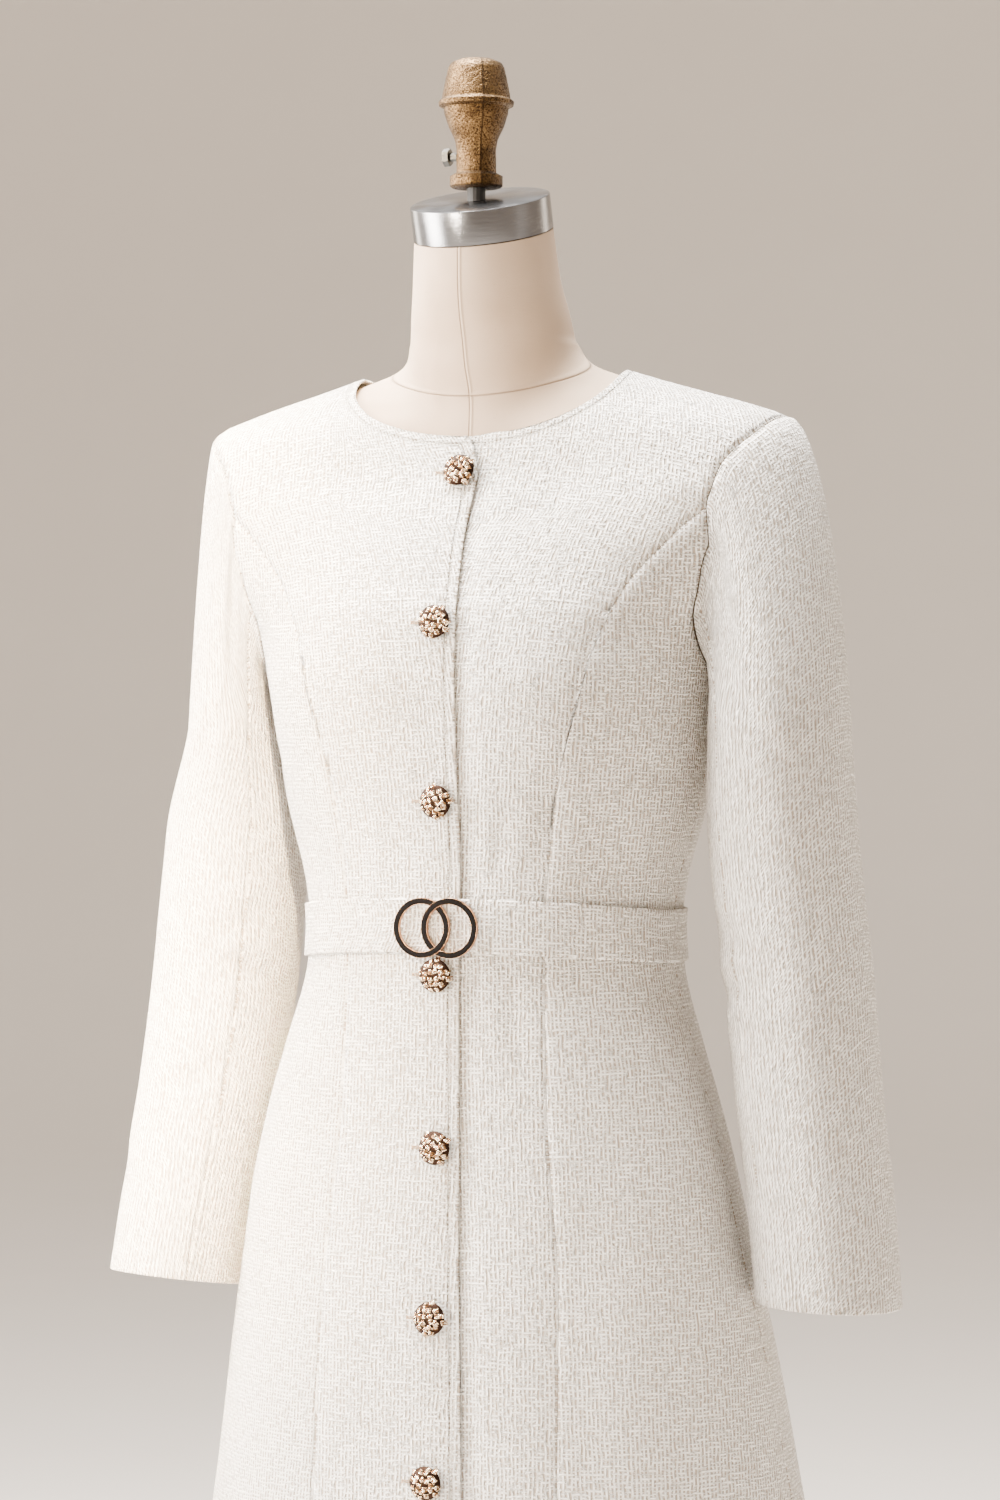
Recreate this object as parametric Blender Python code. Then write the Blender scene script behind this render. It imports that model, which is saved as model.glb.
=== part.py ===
"""A buttoned sheath dress with long sleeves, worn on its limbless dress form.

The dress is cut as a maker would cut it: two fronts that overlap, side fronts, side backs and a
centre back joined by princess seams, and two-piece sleeves set into the armholes.  Every panel is a
wall of cloth laid on one smooth figure, whose level sections are in the table SECTIONS.

Frame: metres, +Z up.  The front faces -Y, the wearer's left side is +X, and the origin is on the
floor under the middle of the foot.
"""
import math

import bmesh
import bpy
import numpy as np

# ---------------------------------------------------------------- driving dimensions
CLOTH = 0.002            # wall of the dress
GAP = 0.0003             # what neighbouring pieces keep between them
EYE = 1.143              # the level that the heights below are counted from

# Level sections of the dress's outer surface.  An exponent is 2 on an ellipse, more on a boxy one.
# Columns: height, half width, front Y, back Y, Y of the widest place, front and back exponent.
SECTIONS = (
    (-0.745, 0.2520, -0.139, 0.203, 0.030, 2.15, 2.15),
    (-0.640, 0.2345, -0.132, 0.192, 0.024, 2.15, 2.15),
    (-0.530, 0.2170, -0.124, 0.180, 0.0175, 2.15, 2.15),
    (-0.418, 0.1990, -0.1175, 0.162, 0.007, 2.15, 2.15),
    (-0.355, 0.1870, -0.112, 0.149, -0.002, 2.15, 2.15),
    (-0.299, 0.1765, -0.108, 0.137, -0.0075, 2.15, 2.15),
    (-0.250, 0.1645, -0.105, 0.127, -0.008, 2.15, 2.15),
    (-0.203, 0.1503, -0.1045, 0.118, -0.006, 2.15, 2.15),
    (-0.154, 0.1362, -0.105, 0.111, 0.000, 2.15, 2.15),
    (-0.125, 0.1335, -0.105, 0.107, 0.0015, 2.15, 2.15),
    (-0.095, 0.1370, -0.104, 0.107, 0.002, 2.2, 2.2),
    (-0.035, 0.1525, -0.102, 0.112, 0.003, 2.25, 2.25),
    (0.020, 0.1625, -0.1015, 0.118, 0.004, 2.3, 2.3),
    (0.050, 0.1680, -0.1025, 0.121, 0.005, 2.3, 2.3),
    (0.070, 0.1725, -0.1025, 0.122, 0.006, 2.25, 2.25),
    (0.090, 0.1805, -0.102, 0.122, 0.0075, 2.2, 2.2),
    (0.118, 0.2050, -0.095, 0.121, 0.0095, 2.15, 2.0),
    (0.140, 0.2175, -0.088, 0.118, 0.011, 2.3, 1.85),
    (0.165, 0.2320, -0.077, 0.113, 0.012, 2.6, 1.7),
    (0.192, 0.2430, -0.063, 0.105, 0.015, 3.3, 1.6),
    (0.214, 0.2290, -0.057, 0.098, 0.015, 3.2, 1.6),
    (0.231, 0.2138, -0.0515, 0.090, 0.012, 2.5, 1.7),
    (0.240, 0.1900, -0.0475, 0.086, 0.005, 2.0, 1.75),
    (0.250, 0.1550, -0.043, 0.081, -0.001, 1.75, 1.75),
    (0.260, 0.1206, -0.0365, 0.077, -0.001, 1.7, 1.7),
    (0.2665, 0.1000, -0.032, 0.073, 0.000, 1.7, 1.7),
    (0.290, 0.0300, -0.012, 0.056, 0.004, 1.7, 1.7),
)
BUST = {"x": 0.092, "height": 0.045, "rise": 0.014, "width": 0.050, "length": 0.055, "bridge": 0.030}

# Neckline, shoulder and armhole.
NECK_WIDTH = 0.100                 # from the middle to the neck end of the shoulder seam
NECK_POINT = 0.2663                # that end's height
NECK_FRONT = 0.2190                # the neckline's height at centre front
NECK_BACK = 0.2550                 # the neckline's height at centre back
SHOULDER_TIP = 0.2310              # height of the shoulder seam's outer end
ARMHOLE = {"low": 0.050, "front": 0.0615, "front_fullness": 0.40, "back": 0.062, "back_fullness": 0.0}

# The princess seams: the height, and how far each seam lies from the middle.
# Columns: height, X of the front seam, X of the back seam.
PRINCESS = (
    (-0.745, 0.0960, 0.115),
    (-0.510, 0.0905, 0.105),
    (-0.380, 0.0883, 0.092),
    (-0.240, 0.0765, 0.078),
    (-0.125, 0.0735, 0.070),
    (-0.050, 0.0790, 0.078),
    (0.000, 0.0853, 0.088),
    (0.030, 0.0908, 0.098),
    (0.058, 0.0988, 0.109),
    (0.101, 0.1203, 0.134),
    (0.122, 0.1338, 0.148),
    (0.138, 0.1490, 0.161),
    (0.154, 0.1648, 0.174),
    (0.165, 0.1790, 0.184),
)

# The edge of the upper front, at the wearer's left of the middle, and how far the under front goes.
# Columns: height, X of the edge.
OVERLAP = (
    (-0.745, 0.0300),
    (-0.510, 0.0238),
    (-0.4375, 0.0212),
    (-0.338, 0.0167),
    (-0.199, 0.0150),
    (-0.075, 0.0160),
    (-0.024, 0.0138),
    (0.072, 0.0140),
    (0.111, 0.0129),
    (0.150, 0.0118),
    (0.190, 0.0122),
    (0.212, 0.0065),
    (0.219, 0.0020),
)
UNDERLAP = -0.020
LAYER_DROP = CLOTH + 0.0016        # how far the under front lies inside the figure, below the upper one
LAYER_FADE = 0.018                 # over what width it comes out again
SEAM_HALF = 0.00016                # how far each piece's edge is drawn in at a seam

# Which level each row of a panel reaches: close rows where the figure turns fast.
# Columns: row, height.
ROWS = ((0, -0.745), (6, -0.420), (10, -0.240), (13, -0.125), (17, -0.020), (20, 0.058), (24, 0.165))
ARMHOLE_ROWS = 5                   # from the princess seam up to the shoulder tip
ARMHOLE_COLUMNS = 5                # from the princess seam down to the side seam
NECK_COLUMNS_FRONT = 7             # along the neckline, from the edge to the shoulder seam
NECK_COLUMNS_BACK = 4
SHOULDER_COLUMNS = 3
TOP_HOLD = 5                       # how quickly a panel's rows settle below its shaped upper edge
TOPSTITCH_MARGIN = 0.0015          # how far the under front stays low past the upper edge

# Sleeves: rings from the upper arm to the cuff, for the wearer's left arm and right arm.
# Columns: height, middle X, middle Y, reach to the body, reach outward, half depth.
ARMS = {
    "left": (
        (0.015, 0.2120, -0.005, 0.0460, 0.0500, 0.060),
        (-0.060, 0.2160, -0.003, 0.0515, 0.0515, 0.056),
        (-0.150, 0.2250, 0.000, 0.0520, 0.0520, 0.054),
        (-0.240, 0.2330, 0.002, 0.0510, 0.0510, 0.053),
        (-0.310, 0.2410, 0.002, 0.0505, 0.0510, 0.0525),
        (-0.381, 0.2470, 0.002, 0.0500, 0.0500, 0.0525),
    ),
    "right": (
        (0.015, 0.1990, 0.0175, 0.0340, 0.0415, 0.058),
        (-0.060, 0.2110, 0.0250, 0.0500, 0.0530, 0.056),
        (-0.150, 0.2195, 0.0215, 0.0520, 0.0530, 0.054),
        (-0.240, 0.2250, 0.0060, 0.0500, 0.0520, 0.053),
        (-0.310, 0.2300, -0.0105, 0.0460, 0.0510, 0.0525),
        (-0.381, 0.2350, -0.0285, 0.0440, 0.0490, 0.0525),
    ),
}
CUFF_LEVEL = {"left": -0.042, "right": 0.077}   # how much each ring rises towards its outer side
SLEEVE_FULLNESS = 2.1
CAP_ROWS = 6
CAP_CROWDING = 1.15                # above 1, the cap's rows draw together at the armhole
HANG_FROM = 0.55                   # from this nearness to the tip down, the sleeve begins to hang
ARM_ROWS = 10
CAP_REACH = {
    "left": {"top": 0.085, "side": 0.050, "under": 0.030, "end": 0.200, "side_end": 0.110, "under_end": 0.020},
    "right": {"top": 0.035, "side": 0.015, "under": 0.030, "end": 0.150, "side_end": 0.110, "under_end": 0.020},
}
CAP_LIFT = {"left": (0.75, 0.0, 0.20), "right": (-0.05, 0.0, 0.0)}   # how the sleeve head leaves the shoulder
UNDERARM_WAY = (0.86, 0.0, -0.50)  # how the sleeve leaves the body under the arm
SLEEVE_GAP = 0.0004
FRONT_SEAM = 7                     # the sleeve's columns that its two seams follow
BACK_SEAM = 13
CUFF_FACING = {"depth": 0.036, "wall": 0.001, "inset": 0.06}
FACING_GAP = 0.0005

BELT = {"height": 0.037, "wall": 0.0025, "front": -0.1205, "side_drop": 0.009, "sweep": 1.5, "columns": 56}
BELT_GAP = 0.0008
RING = {"radius": 0.020, "band": 0.0036, "thickness": 0.003, "spacing": 0.0205, "x": 0.0008, "sides": 48,
        "swell": 0.00005}                # the second ring is this much fuller, so no faces fall together
BUTTON = {"radius": 0.012, "dome": 0.0062, "rim": 0.0016, "shank": 0.0022, "stand_off": 0.0028,
          "under": 0.0102, "tip": 0.0015}
BUTTON_SIDES = 12
DOME_ANGLES = (0, 20, 40, 60)      # degrees up the dome at which its rings lie
BUTTON_GAP = 0.0006
BUTTON_HEIGHTS = (0.193, 0.087, -0.035, -0.1545, -0.273, -0.389, -0.500, -0.619)

# The form: how far its cloth-covered body stays inside the dress's wall, level by level.
# Columns: height, ease.
EASE = (
    (-0.400, 0.020),
    (-0.250, 0.010),
    (-0.125, 0.006),
    (0.000, 0.0042),
    (0.180, 0.0040),
    (0.235, 0.0042),
    (0.290, 0.0042),
)
LAP_EASE = {"depth": 0.0035, "reach": 0.050}   # the form's extra room behind the doubled fronts
FORM_BOTTOM = -0.370
FORM_HEIGHTS = (-0.370, -0.335, -0.295, -0.250, -0.205, -0.165, -0.125, -0.090, -0.050, -0.015,
                0.020, 0.050, 0.080, 0.110, 0.140, 0.170, 0.195, 0.211, 0.222, 0.230, 0.237, 0.244,
                0.251, 0.259, 0.270, 0.285)
NECK_RINGS = 4
ARM_PLATE = (0.158, 0.134)         # half-width at the armhole's foot, and its rise with height
# Columns: height, middle Y, half width, half depth.
NECK = (
    (0.200, 0.010, 0.050, 0.046),
    (0.247, 0.006, 0.058, 0.052),
    (0.270, 0.001, 0.0605, 0.057),
    (0.300, -0.006, 0.0570, 0.0575),
    (0.330, -0.0155, 0.0520, 0.0535),
    (0.3632, -0.0210, 0.0492, 0.0500),
)
NECK_TILT = math.radians(17.0)
ARM_BLEND = 0.012                  # how softly the arm plates meet the body
NECK_BLEND = 0.022                 # how softly the neck meets it
FORM_SIDES = 32
FORM_REACH = 0.4                   # farther out than the form ever goes

CAP = {"radius": 0.0495, "height": 0.0245, "bevel": 0.0012}
CAP_SIDES = 48
POST = {"radius": 0.0065, "height": 0.008, "x": -0.002, "y": -0.030}
POST_SIDES = 16
# Columns: height, radius.
FINIAL = (
    (0.0000, 0.0170),
    (0.0012, 0.0185),
    (0.0080, 0.0185),
    (0.0090, 0.0165),
    (0.0105, 0.0140),
    (0.0270, 0.0138),
    (0.0340, 0.0152),
    (0.0430, 0.0195),
    (0.0520, 0.0224),
    (0.0560, 0.0228),
    (0.0575, 0.0262),
    (0.0605, 0.0265),
    (0.0625, 0.0240),
    (0.0660, 0.0236),
    (0.0760, 0.0216),
    (0.0840, 0.0198),
    (0.0875, 0.0178),
    (0.0900, 0.0120),
    (0.0908, 0.0050),
)
FINIAL_SIDES = 24
SCREW = {"height": 0.0225, "shank": 0.003, "length": 0.0055, "head": 0.0064, "head_length": 0.0045,
         "seat": 0.0139, "tip": 0.0024}
PLATE = {"radius": 0.060, "height": 0.006, "sides": 48}
POLE = {"radius": 0.016, "sides": 24}
FOOT = {"radius": 0.200, "height": 0.018, "hub": 0.028, "hub_height": 0.030, "sides": 48,
        "edge": 0.002, "collar": 0.012, "collar_height": 0.004}

COLOURS = {
    "cloth": ((0.82, 0.78, 0.70), 0.85, 0.0),
    "facing": ((0.80, 0.75, 0.65), 0.70, 0.0),
    "gold": ((0.72, 0.46, 0.26), 0.28, 1.0),
    "enamel": ((0.02, 0.015, 0.012), 0.22, 0.0),
    "form": ((0.72, 0.64, 0.52), 0.75, 0.0),
    "steel": ((0.50, 0.49, 0.47), 0.35, 1.0),
    "cast": ((0.42, 0.27, 0.12), 0.50, 1.0),
    "black": ((0.02, 0.02, 0.02), 0.40, 0.0),
}


# ---------------------------------------------------------------- tables and the figure
def smooth_table(rows):
    """A function from a table's first column to its others, smooth and without overshoot."""
    table = np.array(rows, dtype=float)
    at, values = table[:, 0], table[:, 1:]
    step = np.diff(at)[:, None]
    slope = np.diff(values, axis=0) / step
    tangent = np.zeros_like(values)
    same = slope[:-1] * slope[1:] > 0
    mean = 2 * slope[:-1] * slope[1:] / np.where(same, slope[:-1] + slope[1:], 1.0)
    tangent[1:-1] = np.where(same, mean, 0.0)
    tangent[0], tangent[-1] = slope[0], slope[-1]

    def value(wanted):
        wanted = np.clip(np.asarray(wanted, dtype=float), at[0], at[-1])
        left = np.clip(np.searchsorted(at, wanted, side="right") - 1, 0, len(at) - 2)
        width = (at[left + 1] - at[left])[..., None]
        part = (wanted[..., None] - at[left][..., None]) / width
        rise = part * part * (3 - 2 * part)
        out = part * (1 - part) ** 2
        back = part * part * (part - 1)
        start, end = values[left], values[left + 1]
        bend = width * (out * tangent[left] + back * tangent[left + 1])
        return start * (1 - rise) + end * rise + bend

    return value


section_at = smooth_table(SECTIONS)
princess_at = smooth_table(PRINCESS)
overlap_at = smooth_table(OVERLAP)
ease_at = smooth_table(EASE)
neck_at = smooth_table(NECK)
row_height_at = smooth_table(ROWS)


def bust_rise(x, height):
    """How far the cloth stands forward over the bust points."""
    across = (np.hypot(x, BUST["bridge"]) - BUST["x"]) / BUST["width"]
    along = (height - BUST["height"]) / BUST["length"]
    return BUST["rise"] * np.exp(-0.5 * (across**2 + along**2))


def figure_value(points):
    """Below 0 inside the dress's outer surface, 0 on it and above 0 outside."""
    x, y, height = points[..., 0], points[..., 1], points[..., 2] - EYE
    half, front, back, middle, front_exponent, back_exponent = np.moveaxis(section_at(height), -1, 0)
    forward = np.clip((middle - y) / (middle - front), 0.0, 1.0)
    y = y + bust_rise(x, height) * forward**2 * (3 - 2 * forward)
    depth = np.where(y < middle, middle - front, back - middle)
    exponent = np.where(y < middle, front_exponent, back_exponent)
    across = np.abs(x / half) ** exponent
    along = np.abs((y - middle) / depth) ** exponent
    return (across + along) ** (1 / exponent) - 1


def figure_slope(points):
    """The gradient of figure_value, by small steps."""
    step = 1e-5
    slope = np.empty_like(points)
    for axis in range(3):
        shift = np.zeros(3)
        shift[axis] = step
        slope[..., axis] = (figure_value(points + shift) - figure_value(points - shift)) / (2 * step)
    return slope


def on_figure(points):
    """Points moved along the gradient until they lie on the dress's outer surface."""
    points = np.array(points, dtype=float)
    for _ in range(12):
        slope = figure_slope(points)
        size = np.sum(slope**2, axis=-1, keepdims=True)
        points = points - figure_value(points)[..., None] * slope / size
    return points


def figure_normal(points):
    """Unit normals of the dress's outer surface, pointing out."""
    slope = figure_slope(points)
    return slope / np.linalg.norm(slope, axis=-1, keepdims=True)


def surface_y(height, x, front):
    """How far forward or back the level sections reach at a height and a distance from the middle."""
    half, fore, back, middle, *exponents = np.moveaxis(section_at(height), -1, 0)
    exponent = exponents[0 if front else 1]
    share = np.maximum(0.0, 1 - np.abs(x / half) ** exponent) ** (1 / exponent)
    return middle + ((fore if front else back) - middle) * share


def front_point(height, x):
    """A point of the front at a height and a distance from the middle."""
    return (x, float(surface_y(height, x, True)), EYE + height)


def back_point(height, x):
    """A point of the back at a height and a distance from the middle."""
    return (x, float(surface_y(height, x, False)), EYE + height)


def level_point(height, angle):
    """A point at a height and an angle: 0 in front, a quarter turn at the wearer's left."""
    half, front, back, middle, *exponents = section_at(height)
    exponent = exponents[0 if math.cos(angle) > 0 else 1]
    across = math.copysign(abs(math.sin(angle)) ** (2 / exponent), math.sin(angle))
    along = abs(math.cos(angle)) ** (2 / exponent)
    y = middle - (middle - front) * along if math.cos(angle) > 0 else middle + (back - middle) * along
    return (half * across, y, EYE + height)


def level_angle(height, x):
    """The angle at which a level section reaches a distance from the middle."""
    half, exponent = section_at(height)[[0, 4]]
    return math.asin(min(1.0, (x / half) ** (exponent / 2)))


# ---------------------------------------------------------------- seams, on the wearer's left side
def neckline(angle):
    """The neckline: 0 at centre front, a quarter turn at the shoulder and a half turn at the back."""
    low = NECK_FRONT if math.cos(angle) > 0 else NECK_BACK
    height = NECK_POINT + (low - NECK_POINT) * abs(math.cos(angle))
    point = front_point if math.cos(angle) > 0 else back_point
    return point(height, NECK_WIDTH * math.sin(angle))


def armhole(angle):
    """The armhole: 0 at the shoulder tip, a quarter turn at the front, a half turn under the arm."""
    low, top = ARMHOLE["low"], SHOULDER_TIP
    height = (top + low) / 2 + (top - low) / 2 * math.cos(angle)
    tip_y, low_y = section_at(top)[3], section_at(low)[3]
    side = "front" if math.sin(angle) > 0 else "back"
    reach = ARMHOLE[side] * (1 + ARMHOLE[side + "_fullness"] * max(math.cos(angle), 0.0))
    y = tip_y + (low_y - tip_y) * (1 - math.cos(angle)) / 2 - reach * math.sin(angle)
    half, front, back, middle, *exponents = section_at(height)
    exponent = exponents[0 if y < middle else 1]
    depth = middle - front if y < middle else back - middle
    x = half * max(0.0, 1 - abs((y - middle) / depth) ** exponent) ** (1 / exponent)
    return (x, y, EYE + height)


def armhole_angles():
    """The angles of the armhole's points, all the way round from the shoulder tip."""
    low, top = ARMHOLE["low"], SHOULDER_TIP
    meets = math.acos((ROWS[-1][1] - (top + low) / 2) / ((top - low) / 2))
    upper = np.linspace(0.0, meets, ARMHOLE_ROWS + 1)
    lower = np.linspace(meets, math.pi, ARMHOLE_COLUMNS + 1)
    half = np.concatenate([upper, lower[1:]])
    return np.concatenate([half, (2 * math.pi - half[::-1])[1:]])


ARMHOLE_LOOP = on_figure([armhole(angle) for angle in armhole_angles()])
TIP = 0
FRONT_MEETS = ARMHOLE_ROWS
UNDERARM = ARMHOLE_ROWS + ARMHOLE_COLUMNS
BACK_MEETS = UNDERARM + ARMHOLE_COLUMNS
LAST = len(ARMHOLE_LOOP) - 1       # the shoulder tip again

PRINCESS_HEIGHTS = [float(row_height_at(row)[0]) for row in range(ROWS[-1][0] + 1)]
TURN = -0.020                      # above this the side seam's rows draw together
SPREAD = 0.058                     # above this the middle's rows draw together


def princess_seam(column, point):
    """A princess seam from the hem to the armhole: column 0 in front, 1 at the back."""
    seam = [point(height, float(princess_at(height)[column])) for height in PRINCESS_HEIGHTS]
    seam = on_figure(seam)
    seam[-1] = ARMHOLE_LOOP[FRONT_MEETS if column == 0 else BACK_MEETS]
    return seam


def side_seam():
    """The side seam from the hem to the underarm, a point for each row of the princess seams."""
    low = ARMHOLE["low"]
    share = (low - TURN) / (PRINCESS_HEIGHTS[-1] - TURN)
    heights = [h if h < TURN else TURN + (h - TURN) * share for h in PRINCESS_HEIGHTS]
    seam = on_figure([level_point(height, math.pi / 2) for height in heights])
    seam[-1] = ARMHOLE_LOOP[UNDERARM]
    return seam


def middle_edge(point, edge_x, top):
    """A panel's long edge near the middle, from the hem to the neckline's height."""
    rising = [ARMHOLE_LOOP[FRONT_MEETS - step][2] - EYE for step in range(1, ARMHOLE_ROWS + 1)]
    share = (top - SPREAD) / (SHOULDER_TIP - SPREAD)
    heights = [h if h < SPREAD else SPREAD + (h - SPREAD) * share for h in PRINCESS_HEIGHTS + rising]
    return on_figure([point(height, edge_x(height)) for height in heights])


def top_edge(start, neck_columns):
    """The neckline from an angle to the shoulder seam, then that seam out to the shoulder tip."""
    neck = [neckline(angle) for angle in np.linspace(start, math.pi / 2, neck_columns + 1)]
    heights = np.linspace(NECK_POINT, SHOULDER_TIP, SHOULDER_COLUMNS + 1)[1:]
    shoulder = [level_point(height, math.pi / 2) for height in heights]
    edge = on_figure(neck + shoulder)
    edge[-1] = ARMHOLE_LOOP[TIP]
    return edge


def patch(left, right, bottom, top, shares=None, front=None):
    """A grid of points between four edges, laid on the figure; its edges are kept."""
    up = np.linspace(0, 1, len(left))[:, None, None]
    if shares is None:
        shares = np.tile(np.linspace(0, 1, len(bottom)), (len(left), 1))
    across = shares[..., None]
    level = (1 - across) * left[:, None] + across * right[:, None]
    low = bottom - ((1 - across[0]) * bottom[0] + across[0] * bottom[-1])
    high = top - ((1 - across[-1]) * top[0] + across[-1] * top[-1])
    grid = level + (1 - up) ** TOP_HOLD * low[None] + up**TOP_HOLD * high[None]
    if front is not None:
        grid[..., 1] = surface_y(grid[..., 2] - EYE, grid[..., 0], front)
    grid = on_figure(grid)
    grid[:, 0], grid[:, -1], grid[0], grid[-1] = left, right, bottom, top
    return grid


# ---------------------------------------------------------------- meshes
def make_object(name, vertices, faces, finish):
    """A closed mesh object with its faces turned outward and its own material."""
    mesh = bpy.data.meshes.new(name)
    mesh.from_pydata([tuple(v) for v in vertices], [], faces)
    mesh.update()
    work = bmesh.new()
    work.from_mesh(mesh)
    bmesh.ops.recalc_face_normals(work, faces=work.faces)
    work.to_mesh(mesh)
    work.free()
    mesh.shade_smooth()
    mesh.set_sharp_from_angle(angle=math.radians(40))
    made = bpy.data.objects.new(name, mesh)
    bpy.context.scene.collection.objects.link(made)
    mesh.materials.append(make_material(name, finish))
    return made


def make_material(name, finish):
    """A Principled material of the finish's colour, roughness and metallic value."""
    colour, roughness, metallic = COLOURS[finish]
    material = bpy.data.materials.new(name)
    material.use_nodes = True
    shader = material.node_tree.nodes["Principled BSDF"]
    shader.inputs["Base Color"].default_value = (*colour, 1.0)
    shader.inputs["Roughness"].default_value = roughness
    shader.inputs["Metallic"].default_value = metallic
    return material


def wall(name, outer, inner, finish="cloth", closed=False):
    """A solid wall between two grids of points; closed joins the last column to the first."""
    rows, columns = outer.shape[:2]
    count = rows * columns
    vertices = np.concatenate([outer.reshape(-1, 3), inner.reshape(-1, 3)])
    spans = columns if closed else columns - 1
    faces = []

    def at(row, column, side=0):
        return side * count + row * columns + column % columns

    for row in range(rows - 1):
        for column in range(spans):
            corners = ((row, column), (row, column + 1), (row + 1, column + 1), (row + 1, column))
            faces.append([at(*corner) for corner in corners])
            faces.append([at(*corner, 1) for corner in reversed(corners)])
    for row in (0, rows - 1):
        for column in range(spans):
            faces.append([at(row, column), at(row, column, 1), at(row, column + 1, 1), at(row, column + 1)])
    if not closed:
        for column in (0, columns - 1):
            for row in range(rows - 1):
                faces.append([at(row, column), at(row + 1, column), at(row + 1, column, 1), at(row, column, 1)])
    return make_object(name, vertices, faces, finish)


def revolve(profile, sides):
    """Vertices and faces of a profile of (height, radius) turned about Z, closed by poles."""
    turn = [2 * math.pi * side / sides for side in range(sides)]
    vertices = [(r * math.cos(a), r * math.sin(a), h) for h, r in profile for a in turn]
    low, high = len(vertices), len(vertices) + 1
    vertices += [(0, 0, profile[0][0]), (0, 0, profile[-1][0])]
    faces = []
    for ring in range(len(profile) - 1):
        for side in range(sides):
            here, after = ring * sides, ring * sides + sides
            other = (side + 1) % sides
            faces.append([here + side, here + other, after + other, after + side])
    last = (len(profile) - 1) * sides
    for side in range(sides):
        other = (side + 1) % sides
        faces.append([low, other, side])
        faces.append([high, last + side, last + other])
    return vertices, faces


def tube_grid(rings):
    """Faces that join closed rings of equal length, with a fan at each end."""
    sides = len(rings[0])
    vertices = [tuple(point) for ring in rings for point in ring]
    centres = [tuple(np.mean(rings[0], axis=0)), tuple(np.mean(rings[-1], axis=0))]
    faces = []
    for ring in range(len(rings) - 1):
        for side in range(sides):
            here, after = ring * sides, ring * sides + sides
            other = (side + 1) % sides
            faces.append([here + side, here + other, after + other, after + side])
    low = len(vertices)
    last = (len(rings) - 1) * sides
    for side in range(sides):
        other = (side + 1) % sides
        faces.append([low, other, side])
        faces.append([low + 1, last + side, last + other])
    return vertices + centres, faces


def mirrored(grid):
    """A grid on the wearer's other side, its columns in the opposite order."""
    return (grid * np.array([-1.0, 1.0, 1.0]))[:, ::-1]


def drawn_in(outer, inner, edges):
    """Both faces of a wall with the named edges drawn in by half a seam's gap."""
    outer, inner = outer.copy(), inner.copy()
    ends = {"left": (slice(None), 0, slice(None), 1), "right": (slice(None), -1, slice(None), -2),
            "bottom": (0, slice(None), 1, slice(None)), "top": (-1, slice(None), -2, slice(None))}
    for edge, first, last in edges:
        row, column, next_row, next_column = ends[edge]
        along = np.gradient(outer[row, column], axis=0)
        along /= np.linalg.norm(along, axis=-1, keepdims=True)
        move = outer[next_row, next_column] - outer[row, column]
        move -= along * np.sum(move * along, axis=-1, keepdims=True)
        move *= SEAM_HALF / np.linalg.norm(move, axis=-1, keepdims=True)
        move[:first] = 0
        if last is not None:
            move[last:] = 0
        outer[row, column] += move
        inner[row, column] += move
    return outer, inner


# ---------------------------------------------------------------- the dress
def panel(name, grid, edges, right_side=False, drop=None):
    """One cut piece of the body: its outer face on the figure, its inner face a cloth's wall inside."""
    normal = figure_normal(grid)
    if drop is not None:
        grid = grid - normal * drop[..., None]
    outer, inner = drawn_in(grid, grid - normal * CLOTH, edges)
    if right_side:
        outer, inner = mirrored(outer), mirrored(inner)
    return wall(name, outer, inner)


def build_fronts(princess):
    """The two fronts, which overlap at the middle, and the two side fronts."""
    shoulder = NECK_COLUMNS_FRONT
    right = np.concatenate([princess, ARMHOLE_LOOP[TIP:FRONT_MEETS][::-1]])

    def upper_edge(height):
        return -float(overlap_at(height)[0])

    def under_edge(_):
        return UNDERLAP

    start = -math.asin(OVERLAP[-1][1] / NECK_WIDTH)
    top = top_edge(start, NECK_COLUMNS_FRONT)
    left = middle_edge(front_point, upper_edge, top[0][2] - EYE)
    left[-1] = top[0]
    hem = PRINCESS_HEIGHTS[0]
    along = np.linspace(left[0][0], right[0][0], len(top))
    bottom = on_figure([front_point(hem, x) for x in along])
    grid = patch(left, right, bottom, top, front=True)
    panel("front_right", grid, [("right", 0, None), ("top", shoulder, None)], right_side=True)

    start = math.asin(UNDERLAP / NECK_WIDTH)
    top = top_edge(start, NECK_COLUMNS_FRONT + 1)
    left = middle_edge(front_point, under_edge, top[0][2] - EYE)
    left[-1] = top[0]
    along = np.linspace(left[0][0], right[0][0], len(top))
    columns = len(top)
    heights = left[:, 2] - EYE
    under = (overlap_at(heights)[:, 0] + TOPSTITCH_MARGIN - UNDERLAP) / (right[:, 0] - UNDERLAP)
    step = LAYER_FADE / (right[:, 0] - UNDERLAP)
    rest = np.linspace(0, 1, columns - 2)[None]
    shares = np.concatenate([np.zeros((len(left), 1)), under[:, None],
                             (under + step)[:, None] * (1 - rest) + rest], axis=1)
    bottom = on_figure([front_point(hem, x) for x in left[0][0] + shares[0] * (right[0][0] - left[0][0])])
    grid = patch(left, right, bottom, top, shares, front=True)
    drop = np.zeros(grid.shape[:2])
    drop[:, :2] = LAYER_DROP
    panel("front_left", grid, [("right", 0, None), ("top", shoulder + 1, None)], drop=drop)

    side = side_seam()
    top = ARMHOLE_LOOP[FRONT_MEETS:UNDERARM + 1]
    angles = np.linspace(level_angle(hem, princess[0][0]), math.pi / 2, len(top))
    bottom = on_figure([level_point(hem, angle) for angle in angles])
    grid = patch(princess, side, bottom, top)
    edges = [("left", 0, None), ("right", 0, None), ("top", 0, None)]
    panel("side_front_left", grid, edges)
    panel("side_front_right", grid, edges, right_side=True)


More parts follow.
